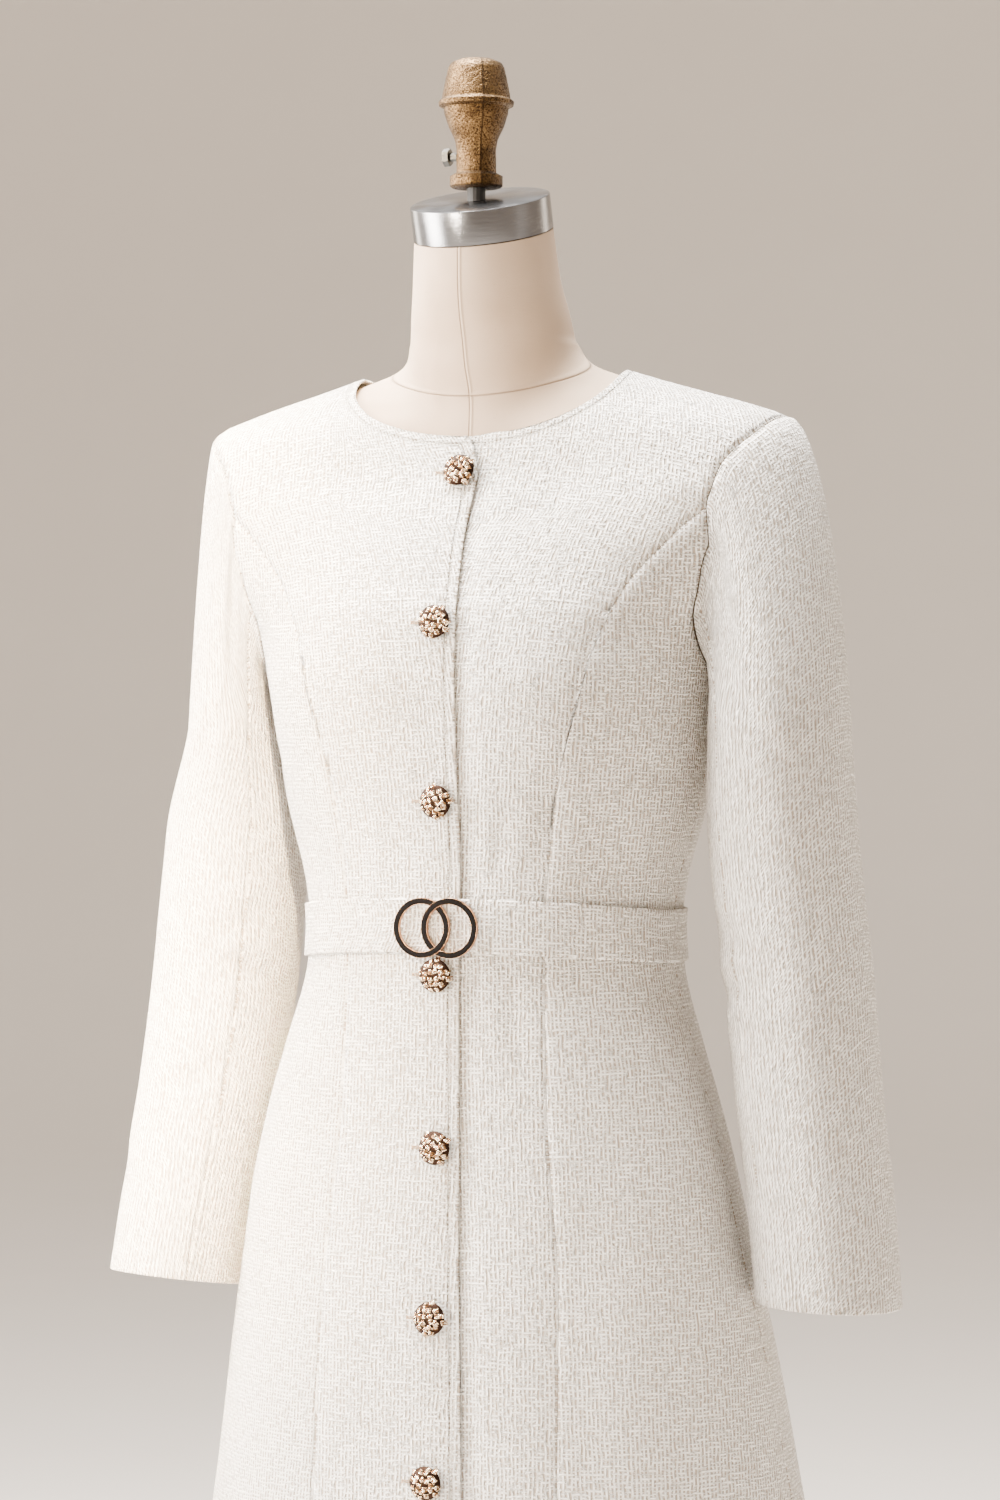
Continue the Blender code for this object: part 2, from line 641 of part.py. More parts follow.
def build_backs(princess):
    """The centre back and the two side backs."""
    side = side_seam()
    hem = PRINCESS_HEIGHTS[0]
    top = ARMHOLE_LOOP[UNDERARM:BACK_MEETS + 1]
    angles = np.linspace(math.pi / 2, math.pi - level_angle(hem, princess[0][0]), len(top))
    bottom = on_figure([level_point(hem, angle) for angle in angles])
    grid = patch(side, princess, bottom, top)
    edges = [("left", 0, None), ("right", 0, None), ("top", 0, None)]
    panel("side_back_left", grid, edges)
    panel("side_back_right", grid, edges, right_side=True)

    right = np.concatenate([princess, ARMHOLE_LOOP[BACK_MEETS + 1:]])
    top = top_edge(math.pi, NECK_COLUMNS_BACK)

    def centre(_):
        return 0.0

    left = middle_edge(back_point, centre, top[0][2] - EYE)
    left[-1] = top[0]
    along = np.linspace(0, right[0][0], len(top))
    bottom = on_figure([back_point(hem, x) for x in along])
    half = patch(left, right, bottom, top, front=False)
    grid = np.concatenate([mirrored(half), half[:, 1:]], axis=1)
    normal = figure_normal(grid)
    outer, inner = drawn_in(grid, grid - normal * CLOTH, [("left", 0, None), ("right", 0, None)])
    count = SHOULDER_COLUMNS + 1
    edges = [("top", 0, count), ("top", len(grid[0]) - count, None)]
    outer, inner = drawn_in(outer, inner, edges)
    wall("back", outer, inner)


def hermite(start, end, leave, arrive, part):
    """A point of the cubic that leaves one point and arrives at another."""
    rise = part * part * (3 - 2 * part)
    out = part * (1 - part) ** 2
    back = part * part * (part - 1)
    return start * (1 - rise) + end * rise + leave * out + arrive * back


def arm_rings(side):
    """The sleeve's rings from the upper arm to the cuff, and the arm's direction at the first."""
    arm_at = smooth_table([(-row[0], *row[1:]) for row in ARMS[side]])
    first, last = ARMS[side][0][0], ARMS[side][-1][0]
    turns = np.linspace(0, 2 * math.pi, len(ARMHOLE_LOOP))
    power = 2 / SLEEVE_FULLNESS
    across = np.sign(np.cos(turns)) * np.abs(np.cos(turns)) ** power
    along = np.sign(np.sin(turns)) * np.abs(np.sin(turns)) ** power
    rings, downs = [], []
    for height in np.linspace(first, last, ARM_ROWS + 1):
        x, y, inner, outer, depth = arm_at(-height)
        ahead, behind = arm_at(-height + 0.002), arm_at(-height - 0.002)
        down = np.array([ahead[0] - behind[0], ahead[1] - behind[1], -0.004])
        down /= np.linalg.norm(down)
        outward = np.array([1.0, 0, CUFF_LEVEL[side]])
        outward /= np.linalg.norm(outward)
        forward = np.cross(outward, down)
        forward *= -np.sign(forward[1])
        width = np.where(across > 0, outer, inner)
        centre = np.array([x, y, EYE + height])
        rings.append(centre + (across * width)[:, None] * outward + (along * depth)[:, None] * forward)
        downs.append(down)
    return np.array(rings), downs


def sleeve_grid(side):
    """The outer points of a sleeve on the wearer's left, from the armhole to the cuff."""
    rings, downs = arm_rings(side)
    loop = ARMHOLE_LOOP
    tangent = np.roll(loop[:-1], -1, axis=0) - np.roll(loop[:-1], 1, axis=0)
    tangent = np.concatenate([tangent, tangent[:1]])
    tangent /= np.linalg.norm(tangent, axis=1, keepdims=True)
    over = np.cross(figure_normal(loop), tangent)
    over *= np.where(over[:, :1] < 0, -1.0, 1.0)
    over[UNDERARM] = (0, 0, 1)
    nearness = (1 + np.cos(np.linspace(0, 2 * math.pi, len(loop)))) / 2
    hang = np.clip((HANG_FROM - nearness) / HANG_FROM, 0, 1)[:, None]
    hang = hang * hang * (3 - 2 * hang)
    leave = over + np.array(CAP_LIFT[side])
    leave /= np.linalg.norm(leave, axis=1, keepdims=True)
    leave = (1 - hang) * leave + hang * np.array(UNDERARM_WAY)
    leave /= np.linalg.norm(leave, axis=1, keepdims=True)
    cap = CAP_REACH[side]
    reach = np.interp(nearness, (0, 0.5, 1), (cap["under"], cap["side"], cap["top"]))
    end = np.interp(nearness, (0, 0.5, 1), (cap["under_end"], cap["side_end"], cap["end"]))
    start = loop + leave * SLEEVE_GAP
    rows = [start]
    for row in range(1, CAP_ROWS):
        part = (row / CAP_ROWS) ** CAP_CROWDING
        rows.append(hermite(start, rings[0], leave * reach[:, None], downs[0] * end[:, None], part))
    return np.concatenate([np.array(rows), rings]), leave


def grid_normals(grid, first_way):
    """Unit normals of a grid that closes on itself, pointing out; first_way leads off the first row."""
    body = grid[:, :-1]
    around = np.roll(body, -1, axis=1) - np.roll(body, 1, axis=1)
    along = np.gradient(body, axis=0)
    along[0] = first_way[:-1] * 0.01
    normal = np.cross(around, along)
    normal /= np.linalg.norm(normal, axis=-1, keepdims=True)
    return np.concatenate([normal, normal[:, :1]], axis=1)


def build_sleeve(side):
    """One sleeve: its upper part, its under part and the facing inside its cuff."""
    outer, leave = sleeve_grid(side)
    normal = grid_normals(outer, leave)
    inner = outer - normal * CLOTH
    right_side = side == "right"
    columns = len(ARMHOLE_LOOP) - 1
    upper = [*range(BACK_SEAM, columns), *range(FRONT_SEAM + 1)]
    under = list(range(FRONT_SEAM, BACK_SEAM + 1))
    for name, chosen in (("upper", upper), ("under", under)):
        faces = drawn_in(outer[:, chosen], inner[:, chosen], [("left", 0, None), ("right", 0, None)])
        if right_side:
            faces = [mirrored(face) for face in faces]
        wall(f"{name}_sleeve_{side}", *faces)
    deep = CUFF_FACING["depth"] / np.linalg.norm(outer[-1, 0] - outer[-2, 0])
    low = inner[-1] + (inner[-2] - inner[-1]) * CUFF_FACING["inset"]
    high = inner[-1] + (inner[-2] - inner[-1]) * deep
    grid = np.array([low, high])[:, :-1]
    away = np.array([normal[-1], normal[-1]])[:, :-1]
    faces = [grid - away * FACING_GAP, grid - away * (FACING_GAP + CUFF_FACING["wall"])]
    if right_side:
        faces = [mirrored(face) for face in faces]
    wall(f"cuff_facing_{side}", *faces, finish="facing", closed=True)


def build_belt():
    """The belt, a closed loop of cloth over the waist, lower at the sides; gives its foremost Y."""
    outer, inner = [], []
    for column in range(BELT["columns"]):
        angle = 2 * math.pi * column / BELT["columns"]
        rise = max(math.cos(angle), 0.0) ** BELT["sweep"]
        middle = BELT["front"] - BELT["side_drop"] * (1 - rise)
        edges = on_figure([level_point(middle + s * BELT["height"] / 2, angle) for s in (-1, 0, 1)])
        away = figure_normal(edges)
        away[:, 2] = 0
        away /= np.linalg.norm(away, axis=1, keepdims=True)
        inner.append(edges + away * BELT_GAP)
        outer.append(edges + away * (BELT_GAP + BELT["wall"]))
    grids = [np.array(side).transpose(1, 0, 2) for side in (outer, inner)]
    wall("belt", *grids, closed=True)
    return float(grids[0][..., 1].min())


def ring_mesh(radius, band, thickness, sides):
    """Vertices and faces of a flat ring about Y, from -thickness to 0."""
    corners = ((radius, 0), (radius, -thickness), (radius - band, -thickness), (radius - band, 0))
    vertices, faces = [], []
    for side in range(sides):
        angle = 2 * math.pi * side / sides
        vertices += [(r * math.cos(angle), y, r * math.sin(angle)) for r, y in corners]
        after = (side + 1) % sides
        for corner in range(4):
            other = (corner + 1) % 4
            faces.append([side * 4 + corner, side * 4 + other, after * 4 + other, after * 4 + corner])
    return vertices, faces


def build_buckle(belt_front):
    """Two plain rings that cross, cast as one piece, lying on the belt."""
    height = EYE + BELT["front"]
    rings = []
    for name, side, extra in (("buckle", -1, 0.0), ("buckle_second_ring", 1, RING["swell"])):
        shape = ring_mesh(RING["radius"] + extra, RING["band"], RING["thickness"] + 2 * extra, RING["sides"])
        ring = make_object(name, *shape, "enamel")
        ring.location = (RING["x"] + side * RING["spacing"] / 2, belt_front - GAP + extra, height)
        rings.append(ring)
    join = rings[0].modifiers.new("join", "BOOLEAN")
    join.operation = "UNION"
    join.solver = "EXACT"
    join.object = rings[1]
    rings[1].hide_render = True
    rings[1].display_type = "WIRE"


def build_buttons():
    """Eight domed buttons, each on a short shank that stands on the upper front."""
    radius, rim = BUTTON["radius"], BUTTON["stand_off"]
    profile = [(BUTTON_GAP, BUTTON["shank"]), (rim, BUTTON["shank"]), (rim, BUTTON["under"])]
    for angle in np.radians(DOME_ANGLES):
        height = rim + BUTTON["rim"] + BUTTON["dome"] * math.sin(angle)
        profile.append((height, radius * math.cos(angle)))
    profile.append((rim + BUTTON["rim"] + BUTTON["dome"], BUTTON["tip"]))
    for number, height in enumerate(BUTTON_HEIGHTS, 1):
        seat = on_figure([front_point(height, 0.0)])
        away = figure_normal(seat)[0]
        button = make_object(f"button_{number}", *revolve(profile, BUTTON_SIDES), "gold")
        button.location = seat[0]
        tip = math.atan2(-away[1], away[2])
        button.rotation_euler = (tip, 0, 0)


# ---------------------------------------------------------------- the form and its stand
def smooth_least(first, second, width):
    """The lesser of two values, rounded over a width where they meet."""
    share = np.clip(0.5 + 0.5 * (second - first) / width, 0, 1)
    return second * (1 - share) + first * share - width * share * (1 - share)


def form_value(points):
    """About the distance outside the form's surface: the body, cut at the arms, with its neck."""
    height = points[..., 2] - EYE
    slope = np.linalg.norm(figure_slope(points), axis=-1)
    body = figure_value(points) / slope + CLOTH + ease_at(height)[..., 0]
    lapped = np.exp(-(points[..., 0] / LAP_EASE["reach"]) ** 4) * (points[..., 1] < 0)
    body = body + LAP_EASE["depth"] * lapped
    plate = ARM_PLATE[0] + ARM_PLATE[1] * (height - ARMHOLE["low"])
    arm = (np.abs(points[..., 0]) - plate) / math.hypot(1, ARM_PLATE[1])
    body = -smooth_least(-body, -arm, ARM_BLEND)
    middle, half, depth = np.moveaxis(neck_at(height), -1, 0)
    ring = np.hypot(points[..., 0] / half, (points[..., 1] - middle) / depth)
    neck = (ring - 1) * (half + depth) / 2
    return smooth_least(body, neck, NECK_BLEND)


def form_ring(height):
    """The form's level section, found along rays from its middle."""
    turns = np.linspace(0, 2 * math.pi, FORM_SIDES, endpoint=False)
    ways = np.stack([np.sin(turns), -np.cos(turns), np.zeros_like(turns)], axis=1)
    middle = np.array([0, float(section_at(height)[3]), EYE + height])
    near, far = np.zeros(FORM_SIDES), np.full(FORM_SIDES, FORM_REACH)
    for _ in range(30):
        half = (near + far) / 2
        inside = form_value(middle + ways * half[:, None]) < 0
        near, far = np.where(inside, half, near), np.where(inside, far, half)
    return middle + ways * near[:, None]


def build_form():
    """The cloth-covered body: level sections up to the neck, then rings that tilt forward with it."""
    rings = [form_ring(height) for height in FORM_HEIGHTS]
    turns = np.linspace(0, 2 * math.pi, FORM_SIDES, endpoint=False)
    first = FORM_HEIGHTS[-1]
    top = NECK[-1][0]
    for step in range(1, NECK_RINGS + 1):
        share = step / NECK_RINGS
        height = first + (top - first) * share
        middle, half, depth = neck_at(height)
        tilt = NECK_TILT * share
        x, reach = half * np.sin(turns), -depth * np.cos(turns)
        y = middle + reach * math.cos(tilt)
        z = EYE + height + reach * math.sin(tilt)
        rings.append(np.stack([x, y, z], axis=1))
    make_object("form_body", *tube_grid(rings), "form")


def build_neck_fittings():
    """The steel cap on the neck, the black post, the cast finial and its set screw."""
    middle = neck_at(NECK[-1][0])[0]
    up = np.array([0, -math.sin(NECK_TILT), math.cos(NECK_TILT)])
    foot = np.array([0, middle, EYE + NECK[-1][0]]) + up * GAP
    radius, high, bevel = CAP["radius"], CAP["height"], CAP["bevel"]
    profile = [(0, radius - bevel / 2), (bevel / 2, radius), (high - bevel, radius),
               (high - bevel * 0.3, radius - bevel * 0.3), (high, radius - bevel)]
    cap = make_object("neck_cap", *revolve(profile, CAP_SIDES), "steel")
    cap.location = foot
    cap.rotation_euler = (NECK_TILT, 0, 0)

    top = foot + up * (high + GAP)
    x, y = POST["x"], POST["y"]
    turns = np.linspace(0, 2 * math.pi, POST_SIDES, endpoint=False)
    round_x, round_y = x + POST["radius"] * np.cos(turns), y + POST["radius"] * np.sin(turns)
    seat = top[2] + (round_y - top[1]) * math.tan(NECK_TILT)
    base = top[2] + (y - top[1]) * math.tan(NECK_TILT) + POST["height"]
    rings = [np.stack([round_x, round_y, level], axis=1) for level in (seat, np.full(POST_SIDES, base))]
    make_object("neck_post", *tube_grid(rings), "black")

    finial = make_object("finial", *revolve(FINIAL, FINIAL_SIDES), "cast")
    finial.location = (x, y, base + GAP)
    shank, head = SCREW["shank"], SCREW["head"]
    stem = SCREW["seat"]
    reach = stem + GAP + SCREW["length"]
    profile = [(stem + GAP, SCREW["tip"]), (stem + GAP, shank), (reach, shank), (reach, head),
               (reach + SCREW["head_length"], head), (reach + SCREW["head_length"], head / 2)]
    screw = make_object("set_screw", *revolve(profile, 6), "steel")
    screw.location = (x, y, base + GAP + SCREW["height"])
    screw.rotation_euler = (0, -math.pi / 2, 0)


def build_stand():
    """The under plate, the pole and the round foot."""
    under = EYE + FORM_BOTTOM - GAP
    radius, high = PLATE["radius"], PLATE["height"]
    plate = make_object("under_plate", *revolve([(0, radius), (high, radius)], PLATE["sides"]), "black")
    plate.location = (0, 0, under - high)
    hub = FOOT["height"] + FOOT["hub_height"]
    length = under - high - GAP - hub - GAP
    profile = [(0, POLE["radius"]), (length, POLE["radius"])]
    pole = make_object("pole", *revolve(profile, POLE["sides"]), "steel")
    pole.location = (0, 0, hub + GAP)
    radius, high = FOOT["radius"], FOOT["height"]
    edge, neck, collar = FOOT["edge"], FOOT["hub"], FOOT["collar_height"]
    profile = [(0, radius - edge), (edge, radius), (high - 3 * edge, radius), (high - edge, radius - edge),
               (high, radius - 3 * edge), (high + collar, neck + FOOT["collar"]), (high + 2 * collar, neck),
               (hub - edge, neck), (hub, neck - edge)]
    make_object("foot", *revolve(profile, FOOT["sides"]), "steel")


def main():
    for old in list(bpy.data.objects):
        bpy.data.objects.remove(old)
    build_fronts(princess_seam(0, front_point))
    build_backs(princess_seam(1, back_point))
    for side in ARMS:
        build_sleeve(side)
    build_buckle(build_belt())
    build_buttons()
    build_form()
    build_neck_fittings()
    build_stand()


main()
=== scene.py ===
# %% [markdown]
# # A sheath dress on its dress form
# The object is a buttoned dress of ivory slub tweed: two fronts that overlap, side panels, a back, and
# two-piece sleeves.  It is worn on a limbless form with a steel neck cap and a cast finial.  The solid
# model gives every size.  This script gives each piece its finish: cloth shells with soft creases,
# stitches, woven metal buttons and the materials.
#
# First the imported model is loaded.  Its box is noted, because nothing made here may outgrow it by more
# than cloth can stand proud.

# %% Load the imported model
import math

import bpy
import numpy as np
from mathutils import Matrix, Vector, noise


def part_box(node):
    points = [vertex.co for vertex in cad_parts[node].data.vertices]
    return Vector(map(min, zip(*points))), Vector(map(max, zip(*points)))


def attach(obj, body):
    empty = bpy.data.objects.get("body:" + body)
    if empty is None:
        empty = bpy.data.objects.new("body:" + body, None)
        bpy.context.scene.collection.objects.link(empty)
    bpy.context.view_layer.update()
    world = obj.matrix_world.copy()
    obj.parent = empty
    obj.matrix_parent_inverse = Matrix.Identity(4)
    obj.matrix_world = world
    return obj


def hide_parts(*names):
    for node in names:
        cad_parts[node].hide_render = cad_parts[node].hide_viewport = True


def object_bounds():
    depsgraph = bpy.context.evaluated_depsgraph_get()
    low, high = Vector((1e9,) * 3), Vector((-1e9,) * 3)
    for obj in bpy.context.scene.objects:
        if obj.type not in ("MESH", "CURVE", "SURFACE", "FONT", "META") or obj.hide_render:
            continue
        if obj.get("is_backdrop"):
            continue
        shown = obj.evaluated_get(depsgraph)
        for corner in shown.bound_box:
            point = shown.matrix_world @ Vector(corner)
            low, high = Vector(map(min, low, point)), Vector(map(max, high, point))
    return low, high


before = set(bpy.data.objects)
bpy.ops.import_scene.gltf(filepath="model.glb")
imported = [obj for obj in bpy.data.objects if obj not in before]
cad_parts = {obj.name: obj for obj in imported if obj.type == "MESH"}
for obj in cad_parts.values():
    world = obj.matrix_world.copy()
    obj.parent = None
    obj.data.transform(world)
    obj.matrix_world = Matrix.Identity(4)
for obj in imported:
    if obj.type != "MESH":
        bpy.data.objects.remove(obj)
solid_box = [list(corner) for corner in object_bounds()]
print("solids", len(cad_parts), "box", solid_box)

# %% [markdown]
# ## The camera
# The photographer stood a little to the wearer's left, about three metres off, with a long lens held
# level at the waist.  A long lens keeps the dress from looking wide at the bottom.  The lens and the
# distance are real values, so the camera needs no shift.

# %% Place the camera
EYE = 1.143                        # metres: the lens's height, from which heights below are counted
AWAY = 3.00                        # from the form's axis
ASIDE = 0.00355                    # to the camera's right
TURN = math.radians(22.0)          # round towards the wearer's left
LENS = 101.52                      # millimetres, on a sensor as long as the next line says
SENSOR = 36.0


def placed(name, data):
    """An object in the scene, at the origin."""
    made = bpy.data.objects.new(name, data)
    bpy.context.scene.collection.objects.link(made)
    return made


forward = np.array([-math.sin(TURN), math.cos(TURN), 0.0])
rightward = np.array([math.cos(TURN), math.sin(TURN), 0.0])
camera = placed("camera", bpy.data.cameras.new("camera"))
camera.data.lens = LENS
camera.data.sensor_width = SENSOR
camera.location = -forward * AWAY + rightward * ASIDE + np.array([0, 0, EYE])
camera.rotation_euler = (math.pi / 2, 0, TURN)
bpy.context.scene.camera = camera
print("camera", [round(value, 3) for value in camera.location])

# %% [markdown]
# ## The studio
# A seamless studio sweep has no corner where floor meets wall.  A profile turned right round the object
# makes the same soft ground for every view.  The key light is a large soft box square to the viewer's
# left, and a second hangs overhead.  They leave the left side and the chest almost white, and the right
# side a quiet grey.  Two narrow warm lights bring out the sleeve on the left, as light from a near wall
# does, and weak ones keep the edges off the background.

# %% Build the sweep and the lights
SWEEP = {"inner": 0.6, "flat": 9.0, "bend": 4.0, "top": 9.0, "sides": 96, "steps": 12}


def sweep_profile():
    """Points (radius, height) along the floor, up the bend and up the wall."""
    flat, bend = SWEEP["flat"], SWEEP["bend"]
    turns = [math.pi / 2 * step / SWEEP["steps"] for step in range(SWEEP["steps"] + 1)]
    bent = [(flat + bend * math.sin(turn), bend - bend * math.cos(turn)) for turn in turns]
    return [(SWEEP["inner"], 0.0), (flat / 2, 0.0), *bent, (flat + bend, SWEEP["top"])]


def tube_faces(rings, sides, first=0, looped=False):
    """Quads between rings of points that follow each other, then a face at each end of an open tube."""
    faces = []
    for ring in range(rings if looped else rings - 1):
        here, after = first + ring * sides, first + (ring + 1) % rings * sides
        for side in range(sides):
            other = (side + 1) % sides
            faces.append((here + side, here + other, after + other, after + side))
    if not looped:
        ends = [tuple(range(start, start + sides)) for start in (first, first + (rings - 1) * sides)]
        faces += [ends[0][::-1], ends[1]]
    return faces


def turned_over(faces):
    """Faces seen from their other side.  A quad keeps its first corner, and so its diagonal."""
    return [face[:1] + face[:0:-1] if len(face) == 4 else face[::-1] for face in faces]


def turned(profile, sides):
    """Vertices and faces of a profile of (radius, height) turned about the upright axis, its ends closed."""
    turns = [2 * math.pi * side / sides for side in range(sides)]
    vertices = [(r * math.cos(turn), r * math.sin(turn), h) for r, h in profile for turn in turns]
    return vertices, tube_faces(len(profile), sides)


def new_object(name, vertices, faces=(), edges=()):
    """A smooth mesh object in the scene, at the origin."""
    mesh = bpy.data.meshes.new(name)
    mesh.from_pydata([tuple(map(float, v)) for v in vertices], edges, faces)
    mesh.update()
    mesh.shade_smooth()
    return placed(name, mesh)


def keep_measure(piece, label, values):
    """Keeps a number for each vertex of a piece, for its material."""
    piece.data.attributes.new(label, "FLOAT", "POINT").data.foreach_set("value", values)


def triangles(piece):
    """How many triangles a piece has."""
    return sum(len(face.vertices) - 2 for face in piece.data.polygons)


vertices, faces = turned(sweep_profile(), SWEEP["sides"])
sweep = new_object("studio_sweep", vertices, faces[:-1])   # without the last face, which would be a ceiling
sweep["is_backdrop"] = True

WORLD = {"colour": (1.0, 0.935, 0.87, 1), "strength": 0.98}
# Columns: to the camera's right, towards the camera, height, size across, size up, watts, how far to
# the right it aims, spread in degrees, colour.
LIGHTS = {
    "key": (-1.50, 0.10, 1.75, 0.7, 1.9, 320, 0.0, 180, (1.0, 0.93, 0.855)),
    "overhead": (-0.40, -0.05, 3.2, 1.0, 1.0, 720, 0.0, 180, (1.0, 0.98, 0.95)),
    "left_front": (-1.9, 1.9, 1.25, 0.4, 1.2, 26, -0.50, 24, (1.0, 0.87, 0.72)),
    "sleeve_glow": (0.15, 3.2, 2.9, 0.15, 0.7, 15, -0.27, 6, (1.0, 0.74, 0.44)),
    "right_fill": (2.6, 1.2, 1.5, 1.0, 2.2, 4, 0.0, 180, (1.0, 0.93, 0.86)),
    "left_rim": (-2.0, -1.9, 1.7, 0.6, 2.2, 60, 0.0, 180, (1.0, 0.90, 0.78)),
    "right_rim": (2.3, -1.5, 1.6, 0.5, 2.2, 26, 0.0, 180, (1.0, 0.86, 0.70)),
}
for name, (right, near, height, across, up, watts, aside, spread, colour) in LIGHTS.items():
    light = bpy.data.lights.new(name, "AREA")
    light.shape = "RECTANGLE"
    light.size, light.size_y, light.energy, light.color = across, up, watts, colour
    light.spread = math.radians(spread)
    lamp = placed(name, light)
    lamp.location = rightward * right - forward * near + np.array([0, 0, height])
    aim = Vector(rightward * aside + np.array([0, 0, EYE])) - Vector(lamp.location)
    lamp.rotation_euler = aim.to_track_quat("-Z", "Y").to_euler()
    lamp.visible_camera = False

world = bpy.data.worlds.new("studio")
world.use_nodes = True
background = world.node_tree.nodes["Background"]
background.inputs["Color"].default_value = WORLD["colour"]
background.inputs["Strength"].default_value = WORLD["strength"]
bpy.context.scene.world = world
print("lights", list(LIGHTS))

# %% [markdown]
# ## Sums with node sockets
# A shader's maths is easier to read as a sum than as a web of nodes.  `Wire` holds one output socket and
# adds a Math node for each operator.  `Nodes` adds any node in one call, and `Finish` is a material made
# of them.  The Geometry Nodes trees below are built with the same two.

# %% Define the helpers for materials
class Wire:
    """One output of a node, which can be used in sums."""

    def __init__(self, nodes, socket):
        self.nodes, self.socket = nodes, socket

    def sum_with(self, operation, first, second=None):
        inputs = {0: first} if second is None else {0: first, 1: second}
        return self.nodes.node("Math", inputs, operation=operation)

    def __add__(self, other):
        return self.sum_with("ADD", self, other)

    def __sub__(self, other):
        return self.sum_with("SUBTRACT", self, other)

    def __rsub__(self, other):
        return self.sum_with("SUBTRACT", other, self)

    def __mul__(self, other):
        return self.sum_with("MULTIPLY", self, other)

    def __truediv__(self, other):
        return self.sum_with("DIVIDE", self, other)

    def __pow__(self, other):
        return self.sum_with("POWER", self, other)

    def __mod__(self, other):
        return self.sum_with("FLOORED_MODULO", self, other)

    def __round__(self):
        return self.sum_with("ROUND", self)

    __radd__, __rmul__ = __add__, __mul__

    def least(self, other):
        return self.sum_with("MINIMUM", self, other)

    def most(self, other):
        return self.sum_with("MAXIMUM", self, other)

    def root(self):
        return self.sum_with("SQRT", self)

    def sine(self, pitch):
        """A sine that comes round once in a pitch."""
        return self.sum_with("SINE", self * (2 * math.pi / pitch))

    def wave(self, pitch):
        """The same sine between 0 and 1."""
        return self.sine(pitch) * 0.5 + 0.5

    def ramp(self, low, high):
        """0 below low, 1 above high and smooth between them."""
        inputs = {0: self, 1: low, 2: high, 3: 0.0, 4: 1.0}
        return self.nodes.node("MapRange", inputs, interpolation_type="SMOOTHSTEP")

    def bell(self, width):
        """1 where the value is 0, falling off on both sides over about a width."""
        return self.sum_with("EXPONENT", (self / width) ** 2.0 * -1.0)


class Nodes:
    """A tree of nodes being built, with one method that adds any node."""

    def link(self, socket, value):
        """Sets an input socket, or joins a wire to it."""
        if isinstance(value, Wire):
            self.tree.links.new(value.socket, socket)
        else:
            socket.default_value = value

    def node(self, kind, inputs=None, output=0, **settings):
        """Adds a node, a shader's where the kind is short: its settings first, then its sockets."""
        made = self.tree.nodes.new(kind if "Node" in kind else "ShaderNode" + kind)
        for setting, value in settings.items():
            setattr(made, setting, value)
        for socket, value in (inputs or {}).items():
            self.link(made.inputs[socket], value)
        return Wire(self, made.outputs[output])

    def axis(self, vector, name):
        """One axis of a vector: X, Y or Z."""
        return self.node("SeparateXYZ", {0: vector}, output=name)


class Finish(Nodes):
    """A material being made, with its Principled shader."""

    def __init__(self, name, colour, roughness, metallic=0.0, **sockets):
        self.material = bpy.data.materials.new(name)
        self.material.use_nodes = True
        self.tree = self.material.node_tree
        self.shader = self.tree.nodes["Principled BSDF"]
        self.material.diffuse_color = (*colour, 1)
        self.put("Base Color", (*colour, 1))
        self.put("Roughness", roughness)
        self.put("Metallic", metallic)
        for socket, value in sockets.items():
            self.put(socket.replace("_", " ").title().replace("Ior", "IOR"), value)

    def put(self, socket, value):
        """Sets or joins one of the Principled shader's own sockets."""
        self.link(self.shader.inputs[socket], value)

    def place(self, kind="Object"):
        """The piece's own coordinates: Object, or UV where a pattern follows the cloth."""
        return self.node("TexCoord", output=kind)

    def stretched(self, vector, scale):
        """Coordinates scaled along each axis, so that a noise has long or short grains."""
        return self.node("Mapping", {"Vector": vector, "Scale": scale})

    def grain(self, vector, scale, detail=2.0, rough=0.5):
        """A noise between 0 and 1."""
        inputs = {"Vector": vector, "Scale": scale, "Detail": detail, "Roughness": rough}
        return self.node("TexNoise", inputs)

    def measure(self, name):
        """A number kept on the piece's vertices, such as the distance from a seam."""
        return self.node("Attribute", output="Fac", attribute_name=name)

    def blend(self, factor, first, second):
        """A colour between two others."""
        first, second = ((*c, 1) if isinstance(c, tuple) else c for c in (first, second))
        return self.node("Mix", {0: factor, 6: first, 7: second}, output=2, data_type="RGBA")

    def bump(self, height, depth):
        """Raises the surface by up to a depth in metres where the height is 1."""
        self.put("Normal", self.node("Bump", {"Height": height, "Distance": depth, "Strength": 1.0}))


def paint(node, material):
    """Gives a solid's own object another material."""
    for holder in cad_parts[node].material_slots:
        holder.material = material


backdrop = Finish("backdrop_paper", (0.86, 0.79, 0.715), 0.9)
paper = backdrop.grain(backdrop.place(), 3.0, 3.0)
backdrop.put("Base Color", backdrop.blend(paper, (0.845, 0.775, 0.70), (0.875, 0.805, 0.73)))
sweep.data.materials.append(backdrop.material)
print("helpers ready")

# %% [markdown]
# ## The cloth
# The dress is a slub tweed: thick and thin yarns, woven plain, with short slubs that float across the
# surface.  A photograph wrapped on the cloth would show its seams, so the weave is worked out from the
# cloth's own UV map, which is in metres along and across the grain.  Upright yarns are noise stretched
# along the grain, slubs are noise stretched across it, and a slub hides the yarns that it crosses.
# Every panel also keeps each point's distance from its nearest seam and from its nearest finished edge,
# which sinks the cloth a little beside a seam and puffs it up beside a row of stitches.  Painted shade
# darkens the weave's hollows, the line of each seam and the groove of each row of stitches.

# %% Mix the dress's cloth, its thread and the cuff facing
IVORY = (0.78, 0.735, 0.67)
# the colour of the painted shade in the weave's hollows, along the seams and in the stitch groove
IVORY_SHADE = (0.27, 0.21, 0.15)
DULL = 0.955                       # the cloth's brightness in its duller patches
# Metres: the yarns' pitch across and along, a slub's length, the relief, and how far yarns wander.
WEAVE = {"yarn": 0.0029, "row": 0.0027, "float": 0.0050, "depth": 0.0036, "drift": 0.0030}
YARN_ROUND = (0.12, 0.80)          # how full a yarn is between its hollows
